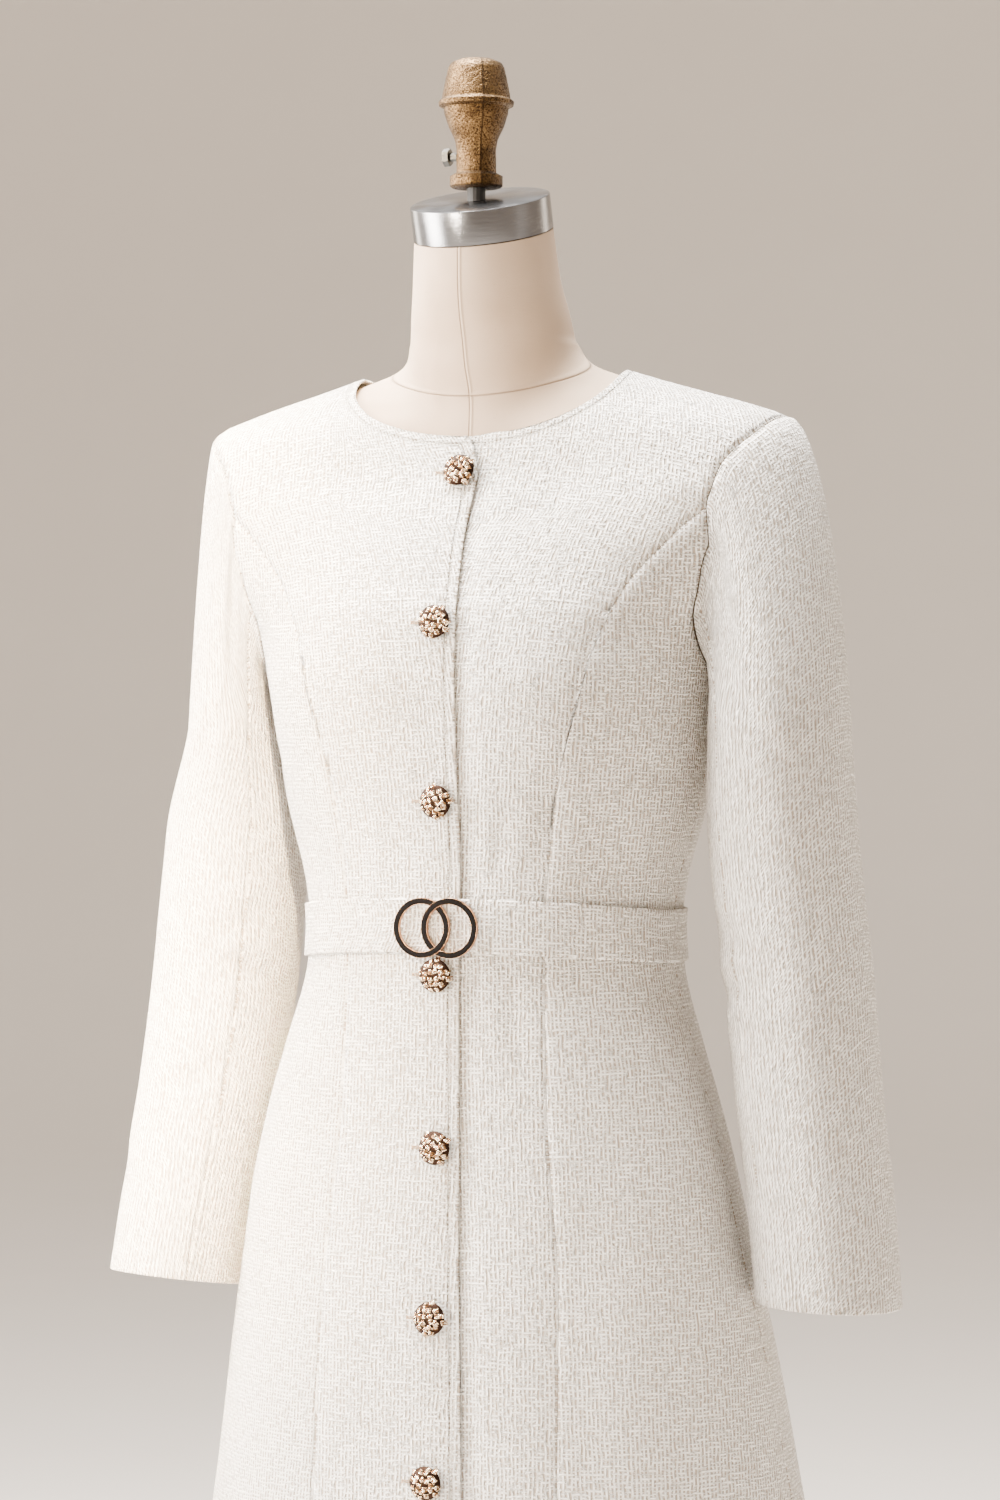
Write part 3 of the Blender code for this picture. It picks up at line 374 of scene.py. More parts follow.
# Metres from a seam: the painted shade of its line, the cloth pressed down beside it, and the pucker's reach.
SEAM = {"line": (0.0002, 0.0014), "pressed": 0.004, "pucker": 0.012}
EDGE_STITCH = 0.0065               # from a finished edge to its row of stitches
# Metres: the width of the stitch groove in the relief, and of the painted shade in it.
STITCH_GROOVE = {"width": 0.0011, "shade": 0.0009}


def tweed(name, colour, shade, depth):
    """Slub tweed on a UV map in metres, with painted shade in its hollows, along its seams and in its stitch
    groove.
    """
    finish = Finish(name, colour, 0.9, Sheen_Weight=0.2, Sheen_Roughness=0.5, Specular_IOR_Level=0.3)
    place = finish.place("UV")
    sway = finish.grain(place, 70.0, 1.5)
    lean = finish.grain(finish.stretched(place, (-60, 75, 1)), 1.0, 1.5)
    shift = finish.node("CombineXYZ", {0: (sway - 0.5) * WEAVE["drift"], 1: (lean - 0.5) * WEAVE["drift"]})
    bent = finish.node("VectorMath", {0: place, 1: shift}, operation="ADD")
    long, short = 1 / (WEAVE["float"] * 1.35), 1 / WEAVE["yarn"]
    yarns = finish.grain(finish.stretched(bent, (short * 1.15, long, 1)), 1.0, 1.0).ramp(0.32, 0.62)
    slubs = finish.grain(finish.stretched(bent, (long * 1.3, short * 1.45, 1)), 1.0, 1.0).ramp(0.44, 0.54)
    upright = finish.axis(bent, "X").wave(WEAVE["yarn"]).ramp(*YARN_ROUND)
    level = finish.axis(bent, "Y").wave(WEAVE["row"]).ramp(*YARN_ROUND)
    fluff = finish.grain(place, 1500.0, 2.0)
    weave = (upright * (yarns * 0.50 + 0.26)).most(slubs * (level * 0.85 + 0.15)) + fluff * 0.16
    seam, from_stitch = finish.measure("seam"), finish.measure("edge") - EDGE_STITCH
    pucker = finish.grain(finish.stretched(place, (40, 240, 1)), 1.0, 1.0)
    pressed = seam.ramp(0.0, SEAM["pressed"]) * 0.7 + seam.ramp(0.0, SEAM["pucker"]) * pucker * 0.4
    stitched = from_stitch.bell(STITCH_GROOVE["width"]) * -1.0
    finish.bump(weave + pressed + stitched * 0.9, depth)
    # Painted shade: the weave's hollows are darkened towards the shade colour.
    hollow = 1.0 - weave.ramp(0.08, 0.62)
    mottled = finish.grain(place, 22.0, 2.0).ramp(0.3, 0.7)
    # Painted shade along each seam's line joins the painted shade of the hollows.
    shadow = hollow * 0.92 + (1.0 - seam.ramp(*SEAM["line"])) * 0.35
    # Painted shade in the groove of each row of stitches.
    shadow = shadow + from_stitch.bell(STITCH_GROOVE["shade"]) * 0.22
    ground = finish.blend(mottled, colour, tuple(part * DULL for part in colour))
    finish.put("Base Color", finish.blend(shadow.least(1.0), ground, shade))
    return finish.material


dress_cloth = tweed("ivory_slub_tweed", IVORY, IVORY_SHADE, WEAVE["depth"])


def twisted_thread(name, colour, ply_pitch=0.0007):
    """Sewing thread: fine slanting plies."""
    finish = Finish(name, colour, 0.6, Sheen_Weight=0.2)
    place = finish.place()
    ply = (finish.axis(place, "Z") + finish.axis(place, "X") * 0.6).wave(ply_pitch)
    finish.bump(ply, 0.00008)
    finish.put("Base Color", finish.blend(ply * 0.35, colour, tuple(part * 0.7 for part in colour)))
    return finish.material


thread = twisted_thread("ivory_thread", (0.80, 0.735, 0.64))


def facing_finish(twill_pitch=0.0009):
    """The smooth cream cloth that faces the cuffs."""
    finish = Finish("cream_facing", (0.80, 0.735, 0.62), 0.55, Sheen_Weight=0.3)
    place = finish.place("UV")
    twill = (finish.axis(place, "X") + finish.axis(place, "Y")).wave(twill_pitch)
    fleck = finish.grain(place, 90.0, 2.0)
    finish.bump(twill * 0.6 + fleck * 0.4, 0.00012)
    finish.put("Base Color", finish.blend(fleck, (0.83, 0.765, 0.65), (0.74, 0.67, 0.55)))
    return finish.material


facing_cloth = facing_finish()
print("cloths mixed")

# %% [markdown]
# ## The figure under the dress
# The cloth follows one smooth surface, as it does on a wearer.  Its level sections come from a short
# table: an ellipse-like curve whose exponent says how boxy it is.  Between the rows a smooth cubic runs
# without overshoot.  A point reaches the surface by a few Newton steps along the surface's own slope.
# The rows are the same as in the solid model, so the shells lie where its panels are, only finer.

# %% The figure's level sections
CLOTH = 0.0018                     # metres: the shell's wall
# Columns: height, half width, front Y, back Y, Y of the widest place, front and back exponent.
SECTIONS = (
    (-0.745, 0.2520, -0.139, 0.203, 0.030, 2.15, 2.15),
    (-0.640, 0.2345, -0.132, 0.192, 0.024, 2.15, 2.15),
    (-0.530, 0.2170, -0.124, 0.180, 0.0175, 2.15, 2.15),
    (-0.418, 0.1990, -0.1175, 0.162, 0.007, 2.15, 2.15),
    (-0.355, 0.1870, -0.112, 0.149, -0.002, 2.15, 2.15),
    (-0.299, 0.1765, -0.108, 0.137, -0.0075, 2.15, 2.15),
    (-0.250, 0.1645, -0.105, 0.127, -0.008, 2.15, 2.15),
    (-0.203, 0.1503, -0.1045, 0.118, -0.006, 2.15, 2.15),
    (-0.154, 0.1362, -0.105, 0.111, 0.000, 2.15, 2.15),
    (-0.125, 0.1335, -0.105, 0.107, 0.0015, 2.15, 2.15),
    (-0.095, 0.1370, -0.104, 0.107, 0.002, 2.2, 2.2),
    (-0.035, 0.1525, -0.102, 0.112, 0.003, 2.25, 2.25),
    (0.020, 0.1625, -0.1015, 0.118, 0.004, 2.3, 2.3),
    (0.050, 0.1680, -0.1025, 0.121, 0.005, 2.3, 2.3),
    (0.070, 0.1725, -0.1025, 0.122, 0.006, 2.25, 2.25),
    (0.090, 0.1805, -0.102, 0.122, 0.0075, 2.2, 2.2),
    (0.118, 0.2050, -0.095, 0.121, 0.0095, 2.15, 2.0),
    (0.140, 0.2175, -0.088, 0.118, 0.011, 2.3, 1.85),
    (0.165, 0.2320, -0.077, 0.113, 0.012, 2.6, 1.7),
    (0.192, 0.2430, -0.063, 0.105, 0.015, 3.3, 1.6),
    (0.214, 0.2290, -0.057, 0.098, 0.015, 3.2, 1.6),
    (0.231, 0.2138, -0.0515, 0.090, 0.012, 2.5, 1.7),
    (0.240, 0.1900, -0.0475, 0.086, 0.005, 2.0, 1.75),
    (0.250, 0.1550, -0.043, 0.081, -0.001, 1.75, 1.75),
    (0.260, 0.1206, -0.0365, 0.077, -0.001, 1.7, 1.7),
    (0.2665, 0.1000, -0.032, 0.073, 0.000, 1.7, 1.7),
    (0.290, 0.0300, -0.012, 0.056, 0.004, 1.7, 1.7),
)
BUST = {"x": 0.092, "height": 0.045, "rise": 0.014, "width": 0.050, "length": 0.055, "bridge": 0.030}
# The neckline, the shoulder and the armhole.
NECK_WIDTH = 0.100                 # from the middle to the neck end of the shoulder seam
NECK_POINT = 0.2663                # that end's height
NECK_FRONT = 0.2190
NECK_BACK = 0.2550
SHOULDER_TIP = 0.2310
ARMHOLE = {"low": 0.050, "front": 0.0615, "front_fullness": 0.40, "back": 0.062, "back_fullness": 0.0}
# The princess seams: the height, and how far each seam lies from the middle.
# Columns: height, X of the front seam, X of the back seam.
PRINCESS = (
    (-0.745, 0.0960, 0.115),
    (-0.510, 0.0905, 0.105),
    (-0.380, 0.0883, 0.092),
    (-0.240, 0.0765, 0.078),
    (-0.125, 0.0735, 0.070),
    (-0.050, 0.0790, 0.078),
    (0.000, 0.0853, 0.088),
    (0.030, 0.0908, 0.098),
    (0.058, 0.0988, 0.109),
    (0.101, 0.1203, 0.134),
    (0.122, 0.1338, 0.148),
    (0.138, 0.1490, 0.161),
    (0.154, 0.1648, 0.174),
    (0.165, 0.1790, 0.184),
)
# The edge of the upper front, at the wearer's left of the middle, and how far the under front goes.
# Columns: height, X of the edge.
OVERLAP = (
    (-0.745, 0.0300),
    (-0.510, 0.0238),
    (-0.4375, 0.0212),
    (-0.338, 0.0167),
    (-0.199, 0.0150),
    (-0.075, 0.0160),
    (-0.024, 0.0138),
    (0.072, 0.0140),
    (0.111, 0.0129),
    (0.150, 0.0118),
    (0.190, 0.0122),
    (0.212, 0.0065),
    (0.219, 0.0020),
)
UNDERLAP = -0.020
LAYER_DROP = 0.0036                # how far the under front lies below the upper one's face
LAYER_FADE = 0.018
TOPSTITCH_MARGIN = 0.0015

# The panels' nets.  Each of the solid model's rows and columns is cut into this many.
ROW_STEPS = 8
COLUMN_STEPS = 3
UNDERARM_STEPS = 4
# Columns: row, height.
ROWS = ((0, -0.745), (6, -0.420), (10, -0.240), (13, -0.125), (17, -0.020), (20, 0.058), (24, 0.165))
ARMHOLE_ROWS = 5
ARMHOLE_COLUMNS = 5
NECK_COLUMNS_FRONT = 7
NECK_COLUMNS_BACK = 4
SHOULDER_COLUMNS = 3
TOP_HOLD = 5                       # how quickly a panel's rows settle below its shaped upper edge
NEWTON_STEPS = 12
SLOPE_STEP = 1e-5                  # metres, for slopes by small steps


def smooth_share(part):
    """0 at 0 and 1 at 1, level at both."""
    return part * part * (3 - 2 * part)


def cubic_weights(part):
    """A cubic's weights at a part of its way: the rise, and the slopes at its start and its end."""
    return smooth_share(part), part * (1 - part) ** 2, part * part * (part - 1)


def unit(ways):
    """Vectors at a length of 1."""
    return ways / np.linalg.norm(ways, axis=-1, keepdims=True)


def smooth_table(rows):
    """A function from a table's first column to its others, smooth and without overshoot."""
    table = np.array(rows, dtype=float)
    at, values = table[:, 0], table[:, 1:]
    step = np.diff(at)[:, None]
    slope = np.diff(values, axis=0) / step
    tangent = np.zeros_like(values)
    same = slope[:-1] * slope[1:] > 0
    mean = 2 * slope[:-1] * slope[1:] / np.where(same, slope[:-1] + slope[1:], 1.0)
    tangent[1:-1] = np.where(same, mean, 0.0)
    tangent[0], tangent[-1] = slope[0], slope[-1]

    def value(wanted):
        wanted = np.clip(np.asarray(wanted, dtype=float), at[0], at[-1])
        left = np.clip(np.searchsorted(at, wanted, side="right") - 1, 0, len(at) - 2)
        width = (at[left + 1] - at[left])[..., None]
        part = (wanted[..., None] - at[left][..., None]) / width
        rise, out, back = cubic_weights(part)
        start, end = values[left], values[left + 1]
        bend = width * (out * tangent[left] + back * tangent[left + 1])
        return start * (1 - rise) + end * rise + bend

    return value


section_at = smooth_table(SECTIONS)
princess_at = smooth_table(PRINCESS)
overlap_at = smooth_table(OVERLAP)
row_height_at = smooth_table(ROWS)


def bust_rise(x, height):
    """How far the cloth stands forward over the bust points."""
    across = (np.hypot(x, BUST["bridge"]) - BUST["x"]) / BUST["width"]
    along = (height - BUST["height"]) / BUST["length"]
    return BUST["rise"] * np.exp(-0.5 * (across**2 + along**2))


def figure_value(points):
    """Below 0 inside the dress's outer surface, 0 on it and above 0 outside."""
    x, y, height = points[..., 0], points[..., 1], points[..., 2] - EYE
    half, front, back, middle, front_exponent, back_exponent = np.moveaxis(section_at(height), -1, 0)
    forward = np.clip((middle - y) / (middle - front), 0.0, 1.0)
    y = y + bust_rise(x, height) * forward**2 * (3 - 2 * forward)
    depth = np.where(y < middle, middle - front, back - middle)
    exponent = np.where(y < middle, front_exponent, back_exponent)
    across = np.abs(x / half) ** exponent
    along = np.abs((y - middle) / depth) ** exponent
    return (across + along) ** (1 / exponent) - 1


def figure_slope(points):
    """The gradient of figure_value, by small steps."""
    slope = np.empty_like(points)
    for axis in range(3):
        shift = np.zeros(3)
        shift[axis] = SLOPE_STEP
        slope[..., axis] = (figure_value(points + shift) - figure_value(points - shift)) / (2 * SLOPE_STEP)
    return slope


def on_figure(points):
    """Points moved along the gradient until they lie on the dress's outer surface."""
    points = np.array(points, dtype=float)
    for _ in range(NEWTON_STEPS):
        slope = figure_slope(points)
        size = np.sum(slope**2, axis=-1, keepdims=True)
        points = points - figure_value(points)[..., None] * slope / size
    return points


def figure_normal(points):
    """Unit normals of the dress's outer surface, pointing out."""
    return unit(figure_slope(points))


def surface_y(height, x, front):
    """How far forward or back the level sections reach at a height and a distance from the middle."""
    half, fore, back, middle, *exponents = np.moveaxis(section_at(height), -1, 0)
    exponent = exponents[0 if front else 1]
    share = np.maximum(0.0, 1 - np.abs(x / half) ** exponent) ** (1 / exponent)
    return middle + ((fore if front else back) - middle) * share


def middle_point(height, x, front):
    """A point of the front or the back at a height and a distance from the middle."""
    return (x, float(surface_y(height, x, front)), EYE + height)


def level_point(height, angle):
    """A point at a height and an angle: 0 in front, a quarter turn at the wearer's left."""
    half, front, back, middle, *exponents = section_at(height)
    exponent = exponents[0 if math.cos(angle) > 0 else 1]
    across = math.copysign(abs(math.sin(angle)) ** (2 / exponent), math.sin(angle))
    along = abs(math.cos(angle)) ** (2 / exponent)
    y = middle - (middle - front) * along if math.cos(angle) > 0 else middle + (back - middle) * along
    return (half * across, y, EYE + height)


def level_angle(height, x):
    """The angle at which a level section reaches a distance from the middle."""
    half, exponent = section_at(height)[[0, 4]]
    return math.asin(min(1.0, (x / half) ** (exponent / 2)))


print("figure ready")

# %% [markdown]
# ## Soft creases
# Cloth on a form isn't a perfect skin.  Each crease is one soft trough or ridge, given as a line on
# the front or the back, with a depth, a width and a fade at both ends.  They are summed, so two that
# cross make a dimple.  Pressing them into the shared surface keeps neighbouring panels together.

# %% Place the creases on the body
# Columns: side (-1 front, 1 back), first x, first height, last x, last height, depth, width.
CREASES = (
    # the skirt's soft flutes, front and back
    (-1, 0.045, -0.16, 0.062, -0.60, 0.0022, 0.020),
    (-1, -0.060, -0.17, -0.085, -0.55, 0.0016, 0.022),
    (-1, 0.120, -0.22, 0.165, -0.70, 0.0030, 0.026),
    (-1, -0.125, -0.30, -0.170, -0.74, 0.0026, 0.026),
    (-1, 0.010, -0.42, 0.035, -0.76, -0.0018, 0.022),
    (1, 0.050, -0.20, 0.080, -0.74, 0.0032, 0.030),
    (1, -0.070, -0.18, -0.100, -0.72, 0.0030, 0.028),
    (1, -0.005, -0.30, -0.015, -0.76, -0.0026, 0.030),
    # pulls out from under the belt, above and below it
    (-1, 0.030, -0.138, 0.038, -0.215, 0.0012, 0.0065),
    (-1, 0.055, -0.138, 0.066, -0.230, 0.0014, 0.008),
    (-1, -0.028, -0.138, -0.034, -0.205, 0.0011, 0.007),
    (-1, -0.052, -0.138, -0.060, -0.225, 0.0014, 0.008),
    (-1, 0.032, -0.102, 0.046, -0.030, 0.0013, 0.008),
    (-1, 0.058, -0.102, 0.078, -0.010, 0.0016, 0.010),
    (-1, -0.030, -0.102, -0.042, -0.035, 0.0012, 0.008),
    (-1, -0.060, -0.102, -0.080, -0.020, 0.0015, 0.010),
    (-1, 0.100, -0.112, 0.118, -0.040, 0.0018, 0.011),
    (-1, -0.100, -0.112, -0.116, -0.045, 0.0018, 0.011),
    (1, 0.035, -0.110, 0.045, -0.030, 0.0018, 0.010),
    (1, -0.040, -0.110, -0.055, -0.020, 0.0018, 0.011),
    (1, 0.080, -0.112, 0.095, -0.040, 0.0016, 0.011),
    (1, -0.085, -0.112, -0.098, -0.050, 0.0016, 0.011),
    (1, 0.020, -0.145, 0.030, -0.230, 0.0016, 0.010),
    (1, -0.030, -0.145, -0.038, -0.240, 0.0016, 0.010),
    # drags from the bust towards the arms and the neck
    (-1, 0.105, 0.060, 0.165, 0.130, 0.0016, 0.011),
    (-1, -0.105, 0.060, -0.160, 0.125, 0.0014, 0.012),
    (-1, 0.120, 0.000, 0.160, -0.020, 0.0014, 0.010),
    (-1, -0.118, 0.005, -0.158, -0.015, 0.0012, 0.010),
    (-1, 0.030, 0.150, 0.100, 0.205, 0.0010, 0.014),
    (-1, -0.035, 0.145, -0.105, 0.200, 0.0010, 0.014),
    (1, 0.060, 0.090, 0.150, 0.150, 0.0018, 0.014),
    (1, -0.055, 0.085, -0.150, 0.140, 0.0018, 0.014),
    (1, 0.050, 0.170, 0.140, 0.195, 0.0014, 0.012),
    (1, -0.045, 0.165, -0.140, 0.190, 0.0014, 0.012),
)
CREASE_BOW = 0.08                  # how far a crease bows, as a share of its length
CREASE_FADE = 1.2                  # the higher, the sooner it fades towards its ends
CREASE_SIDE = 0.03                 # metres from the widest place over which it fades out


def crease_depth(points):
    """How far the cloth is pressed in at points of the body; below 0 where it stands out."""
    x, y, height = points[..., 0], points[..., 1], points[..., 2] - EYE
    middle = section_at(height)[..., 3]
    total = np.zeros_like(x)
    for side, x0, h0, x1, h1, depth, width in CREASES:
        run = np.array([x1 - x0, h1 - h0])
        length = np.linalg.norm(run)
        along = ((x - x0) * run[0] + (height - h0) * run[1]) / length**2
        off = (x - x0) * run[1] / length - (height - h0) * run[0] / length
        swell = np.sin(np.pi * np.clip(along, 0, 1))
        bow = CREASE_BOW * length * swell
        fade = swell**CREASE_FADE * ((along > 0) & (along < 1))
        facing = np.clip((middle - y) * -side / CREASE_SIDE, 0, 1)
        total += depth * np.exp(-(((off - bow) / width) ** 2)) * fade * facing
    return total


print("creases", len(CREASES))

# %% [markdown]
# ## The seams
# A pattern cutter draws a dress as seam lines first: the neckline, the shoulder, the armhole, and a
# princess seam that runs from the armhole over the bust to the hem.  Each line is made once and used by
# both pieces that it joins, so they can't part.  A panel is then a net of points between four seams.

# %% Draw the seams
ARM_TOP = ARMHOLE_ROWS * ROW_STEPS           # net columns from the shoulder tip to the princess seam
ARM_LOW = ARMHOLE_COLUMNS * UNDERARM_STEPS   # and from there to the side seam
TIP, FRONT_MEETS = 0, ARM_TOP
UNDERARM = ARM_TOP + ARM_LOW
BACK_MEETS = UNDERARM + ARM_LOW


def neckline(angle):
    """The neckline: 0 at centre front, a quarter turn at the shoulder and a half turn at the back."""
    low = NECK_FRONT if math.cos(angle) > 0 else NECK_BACK
    height = NECK_POINT + (low - NECK_POINT) * abs(math.cos(angle))
    return middle_point(height, NECK_WIDTH * math.sin(angle), math.cos(angle) > 0)


def armhole(angle):
    """The armhole: 0 at the shoulder tip, a quarter turn at the front, a half turn under the arm."""
    low, top = ARMHOLE["low"], SHOULDER_TIP
    height = (top + low) / 2 + (top - low) / 2 * math.cos(angle)
    tip_y, low_y = section_at(top)[3], section_at(low)[3]
    side = "front" if math.sin(angle) > 0 else "back"
    reach = ARMHOLE[side] * (1 + ARMHOLE[side + "_fullness"] * max(math.cos(angle), 0.0))
    y = tip_y + (low_y - tip_y) * (1 - math.cos(angle)) / 2 - reach * math.sin(angle)
    half, front, back, middle, *exponents = section_at(height)
    exponent = exponents[0 if y < middle else 1]
    depth = middle - front if y < middle else back - middle
    x = half * max(0.0, 1 - abs((y - middle) / depth) ** exponent) ** (1 / exponent)
    return (x, y, EYE + height)


def armhole_angles():
    """The angles of the armhole's points, all the way round from the shoulder tip."""
    low, top = ARMHOLE["low"], SHOULDER_TIP
    meets = math.acos((ROWS[-1][1] - (top + low) / 2) / ((top - low) / 2))
    upper = np.linspace(0.0, meets, ARM_TOP + 1)
    lower = np.linspace(meets, math.pi, ARM_LOW + 1)
    half = np.concatenate([upper, lower[1:]])
    return np.concatenate([half, (2 * math.pi - half[::-1])[1:]])


ARMHOLE_LOOP = on_figure([armhole(angle) for angle in armhole_angles()])
PRINCESS_HEIGHTS = row_height_at(np.arange(ROWS[-1][0] * ROW_STEPS + 1) / ROW_STEPS)[:, 0]
BELOW_ARM = -0.020                 # above this the side seam's rows draw together
SPREAD = 0.058                     # above this the middle's rows draw together


def reaching(seam, end):
    """A seam whose last stretch is eased over, so that it runs smoothly into a given end."""
    steps = 2 * ROW_STEPS if len(seam) > 4 * ROW_STEPS else 2 * COLUMN_STEPS
    ease = np.clip((np.arange(len(seam)) - (len(seam) - 1 - steps)) / steps, 0, 1)[:, None] ** 1.5
    seam = on_figure(seam + (end - seam[-1]) * ease)
    seam[-1] = end
    return seam


def princess_seam(column, front):
    """A princess seam from the hem to the armhole: column 0 in front, 1 at the back."""
    places = princess_at(PRINCESS_HEIGHTS)[:, column]
    seam = on_figure([middle_point(h, x, front) for h, x in zip(PRINCESS_HEIGHTS, places)])
    return reaching(seam, ARMHOLE_LOOP[FRONT_MEETS if front else BACK_MEETS])


def side_seam():
    """The side seam from the hem to the underarm, a point for each row of the princess seams."""
    share = (ARMHOLE["low"] - BELOW_ARM) / (PRINCESS_HEIGHTS[-1] - BELOW_ARM)
    heights = [h if h < BELOW_ARM else BELOW_ARM + (h - BELOW_ARM) * share for h in PRINCESS_HEIGHTS]
    seam = on_figure([level_point(height, math.pi / 2) for height in heights])
    return reaching(seam, ARMHOLE_LOOP[UNDERARM])


def middle_edge(front, edge_x, top):
    """A panel's long edge near the middle, from the hem to the neckline's height."""
    climb = (ARMHOLE_LOOP[FRONT_MEETS - 1::-1, 2] - ARMHOLE_LOOP[FRONT_MEETS, 2])
    rising = PRINCESS_HEIGHTS[-1] + climb * (SHOULDER_TIP - PRINCESS_HEIGHTS[-1]) / climb[-1]
    share = (top - SPREAD) / (SHOULDER_TIP - SPREAD)
    heights = [h if h < SPREAD else SPREAD + (h - SPREAD) * share for h in [*PRINCESS_HEIGHTS, *rising]]
    return on_figure([middle_point(height, edge_x(height), front) for height in heights])


def top_edge(start, neck_columns):
    """The neckline from an angle to the shoulder seam, then that seam out to the shoulder tip."""
    neck = [neckline(angle) for angle in np.linspace(start, math.pi / 2, neck_columns * COLUMN_STEPS + 1)]
    heights = np.linspace(NECK_POINT, SHOULDER_TIP, SHOULDER_COLUMNS * COLUMN_STEPS + 1)[1:]
    edge = on_figure(neck + [level_point(height, math.pi / 2) for height in heights])
    return reaching(edge, ARMHOLE_LOOP[TIP])


def patch(left, right, bottom, top, shares=None, front=None):
    """A net of points between four edges, laid on the figure; its edges are kept."""
    up = np.linspace(0, 1, len(left))[:, None, None]
    if shares is None:
        shares = np.tile(np.linspace(0, 1, len(bottom)), (len(left), 1))
    across = shares[..., None]
    level = (1 - across) * left[:, None] + across * right[:, None]
    low = bottom - ((1 - across[0]) * bottom[0] + across[0] * bottom[-1])
    high = top - ((1 - across[-1]) * top[0] + across[-1] * top[-1])
    net = level + (1 - up) ** TOP_HOLD * low[None] + up**TOP_HOLD * high[None]
    if front is not None:
        net[..., 1] = surface_y(net[..., 2] - EYE, net[..., 0], front)
    net = on_figure(net)
    net[:, 0], net[:, -1], net[0], net[-1] = left, right, bottom, top
    return net


def mirrored(net):
    """A net on the wearer's other side, its columns in the opposite order."""
    return (net * np.array([-1.0, 1.0, 1.0]))[:, ::-1]


FRONT_PRINCESS, BACK_PRINCESS = princess_seam(0, True), princess_seam(1, False)
SIDE_SEAM = side_seam()
SHOULDER_SEAM = top_edge(math.pi, NECK_COLUMNS_BACK)[NECK_COLUMNS_BACK * COLUMN_STEPS:]
NECK_EDGE = on_figure([neckline(angle) for angle in np.linspace(-math.pi, math.pi, 121)])
SEAM_LINES = [FRONT_PRINCESS, BACK_PRINCESS, SIDE_SEAM, SHOULDER_SEAM, ARMHOLE_LOOP]

print("armhole points", len(ARMHOLE_LOOP))

# %% [markdown]
# ## From a net of points to a cloth shell
# A shell has an outer and an inner face, and a rim.  A folded or seamed edge is round, so the rim is half
# a circle, and the border is first drawn in by half the wall.  Two such rims side by side make the small
# valley that a pressed seam shows.  The UV map runs in metres along the rows and columns, or from a
# plumb line on panels whose sides lean.

# %% Make a shell from a net
RIM_STEPS = 4
CHUNK = 2000                       # points whose distances are worked out at a time
# of its flat box: no piece's area is stated below this
LEAST_SHARE = 0.301                # of its flat box: a piece's worked-out area is held at least this large


def run_lengths(net, axis):
    """The distance walked along the net's rows or columns."""
    steps = np.linalg.norm(np.diff(net, axis=axis), axis=-1)
    pad = [(0, 0), (0, 0)]
    pad[axis] = (1, 0)
    return np.cumsum(np.pad(steps, pad), axis=axis)


def nearest(points, lines):
    """Each point's distance to the nearest point of some lines."""
    if not len(lines):
        return np.full(points.shape[:-1], 1.0)
    flat = points.reshape(-1, 3)
    dense = np.concatenate([*lines, *[(line[1:] + line[:-1]) / 2 for line in lines]])
    found = np.concatenate([np.min(np.linalg.norm(part[:, None] - dense[None], axis=-1), axis=1)
                            for part in np.array_split(flat, max(1, len(flat) // CHUNK))])
    return found.reshape(points.shape[:-1])


def border(rows, columns, closed):
    """The border loops of a net, each a list of (row, column, inner row, inner column)."""
    if closed:
        last = [(rows - 1, c, rows - 2, c) for c in range(columns)]
        return [[(0, c, 1, c) for c in range(columns)], last[::-1]]
    last_row, last_column = rows - 1, columns - 1
    loop = [(0, c) for c in range(last_column)] + [(r, last_column) for r in range(last_row)]
    loop += [(last_row, c) for c in range(last_column, 0, -1)] + [(r, 0) for r in range(last_row, 0, -1)]
    return [[(r, c, min(max(r, 1), last_row - 1), min(max(c, 1), last_column - 1)) for r, c in loop]]


def upright_grain(net, normal):
    """UV lengths for a panel whose sides lean: level runs from a plumb line, and heights."""
    half = net.shape[1] // 2
    around = unit(np.cross((0, 0, 1), normal))
    steps = np.sum(np.diff(net, axis=1) * (around[:, 1:] + around[:, :-1]) / 2, axis=-1)
    drift = np.sum(np.diff(net[:, half], axis=0) * (around[1:, half] + around[:-1, half]) / 2, axis=-1)
    u = np.cumsum(np.pad(steps, [(0, 0), (1, 0)]), axis=1)
    return u - u[:, half:half + 1] + np.cumsum([0, *drift])[:, None], net[..., 2] - EYE


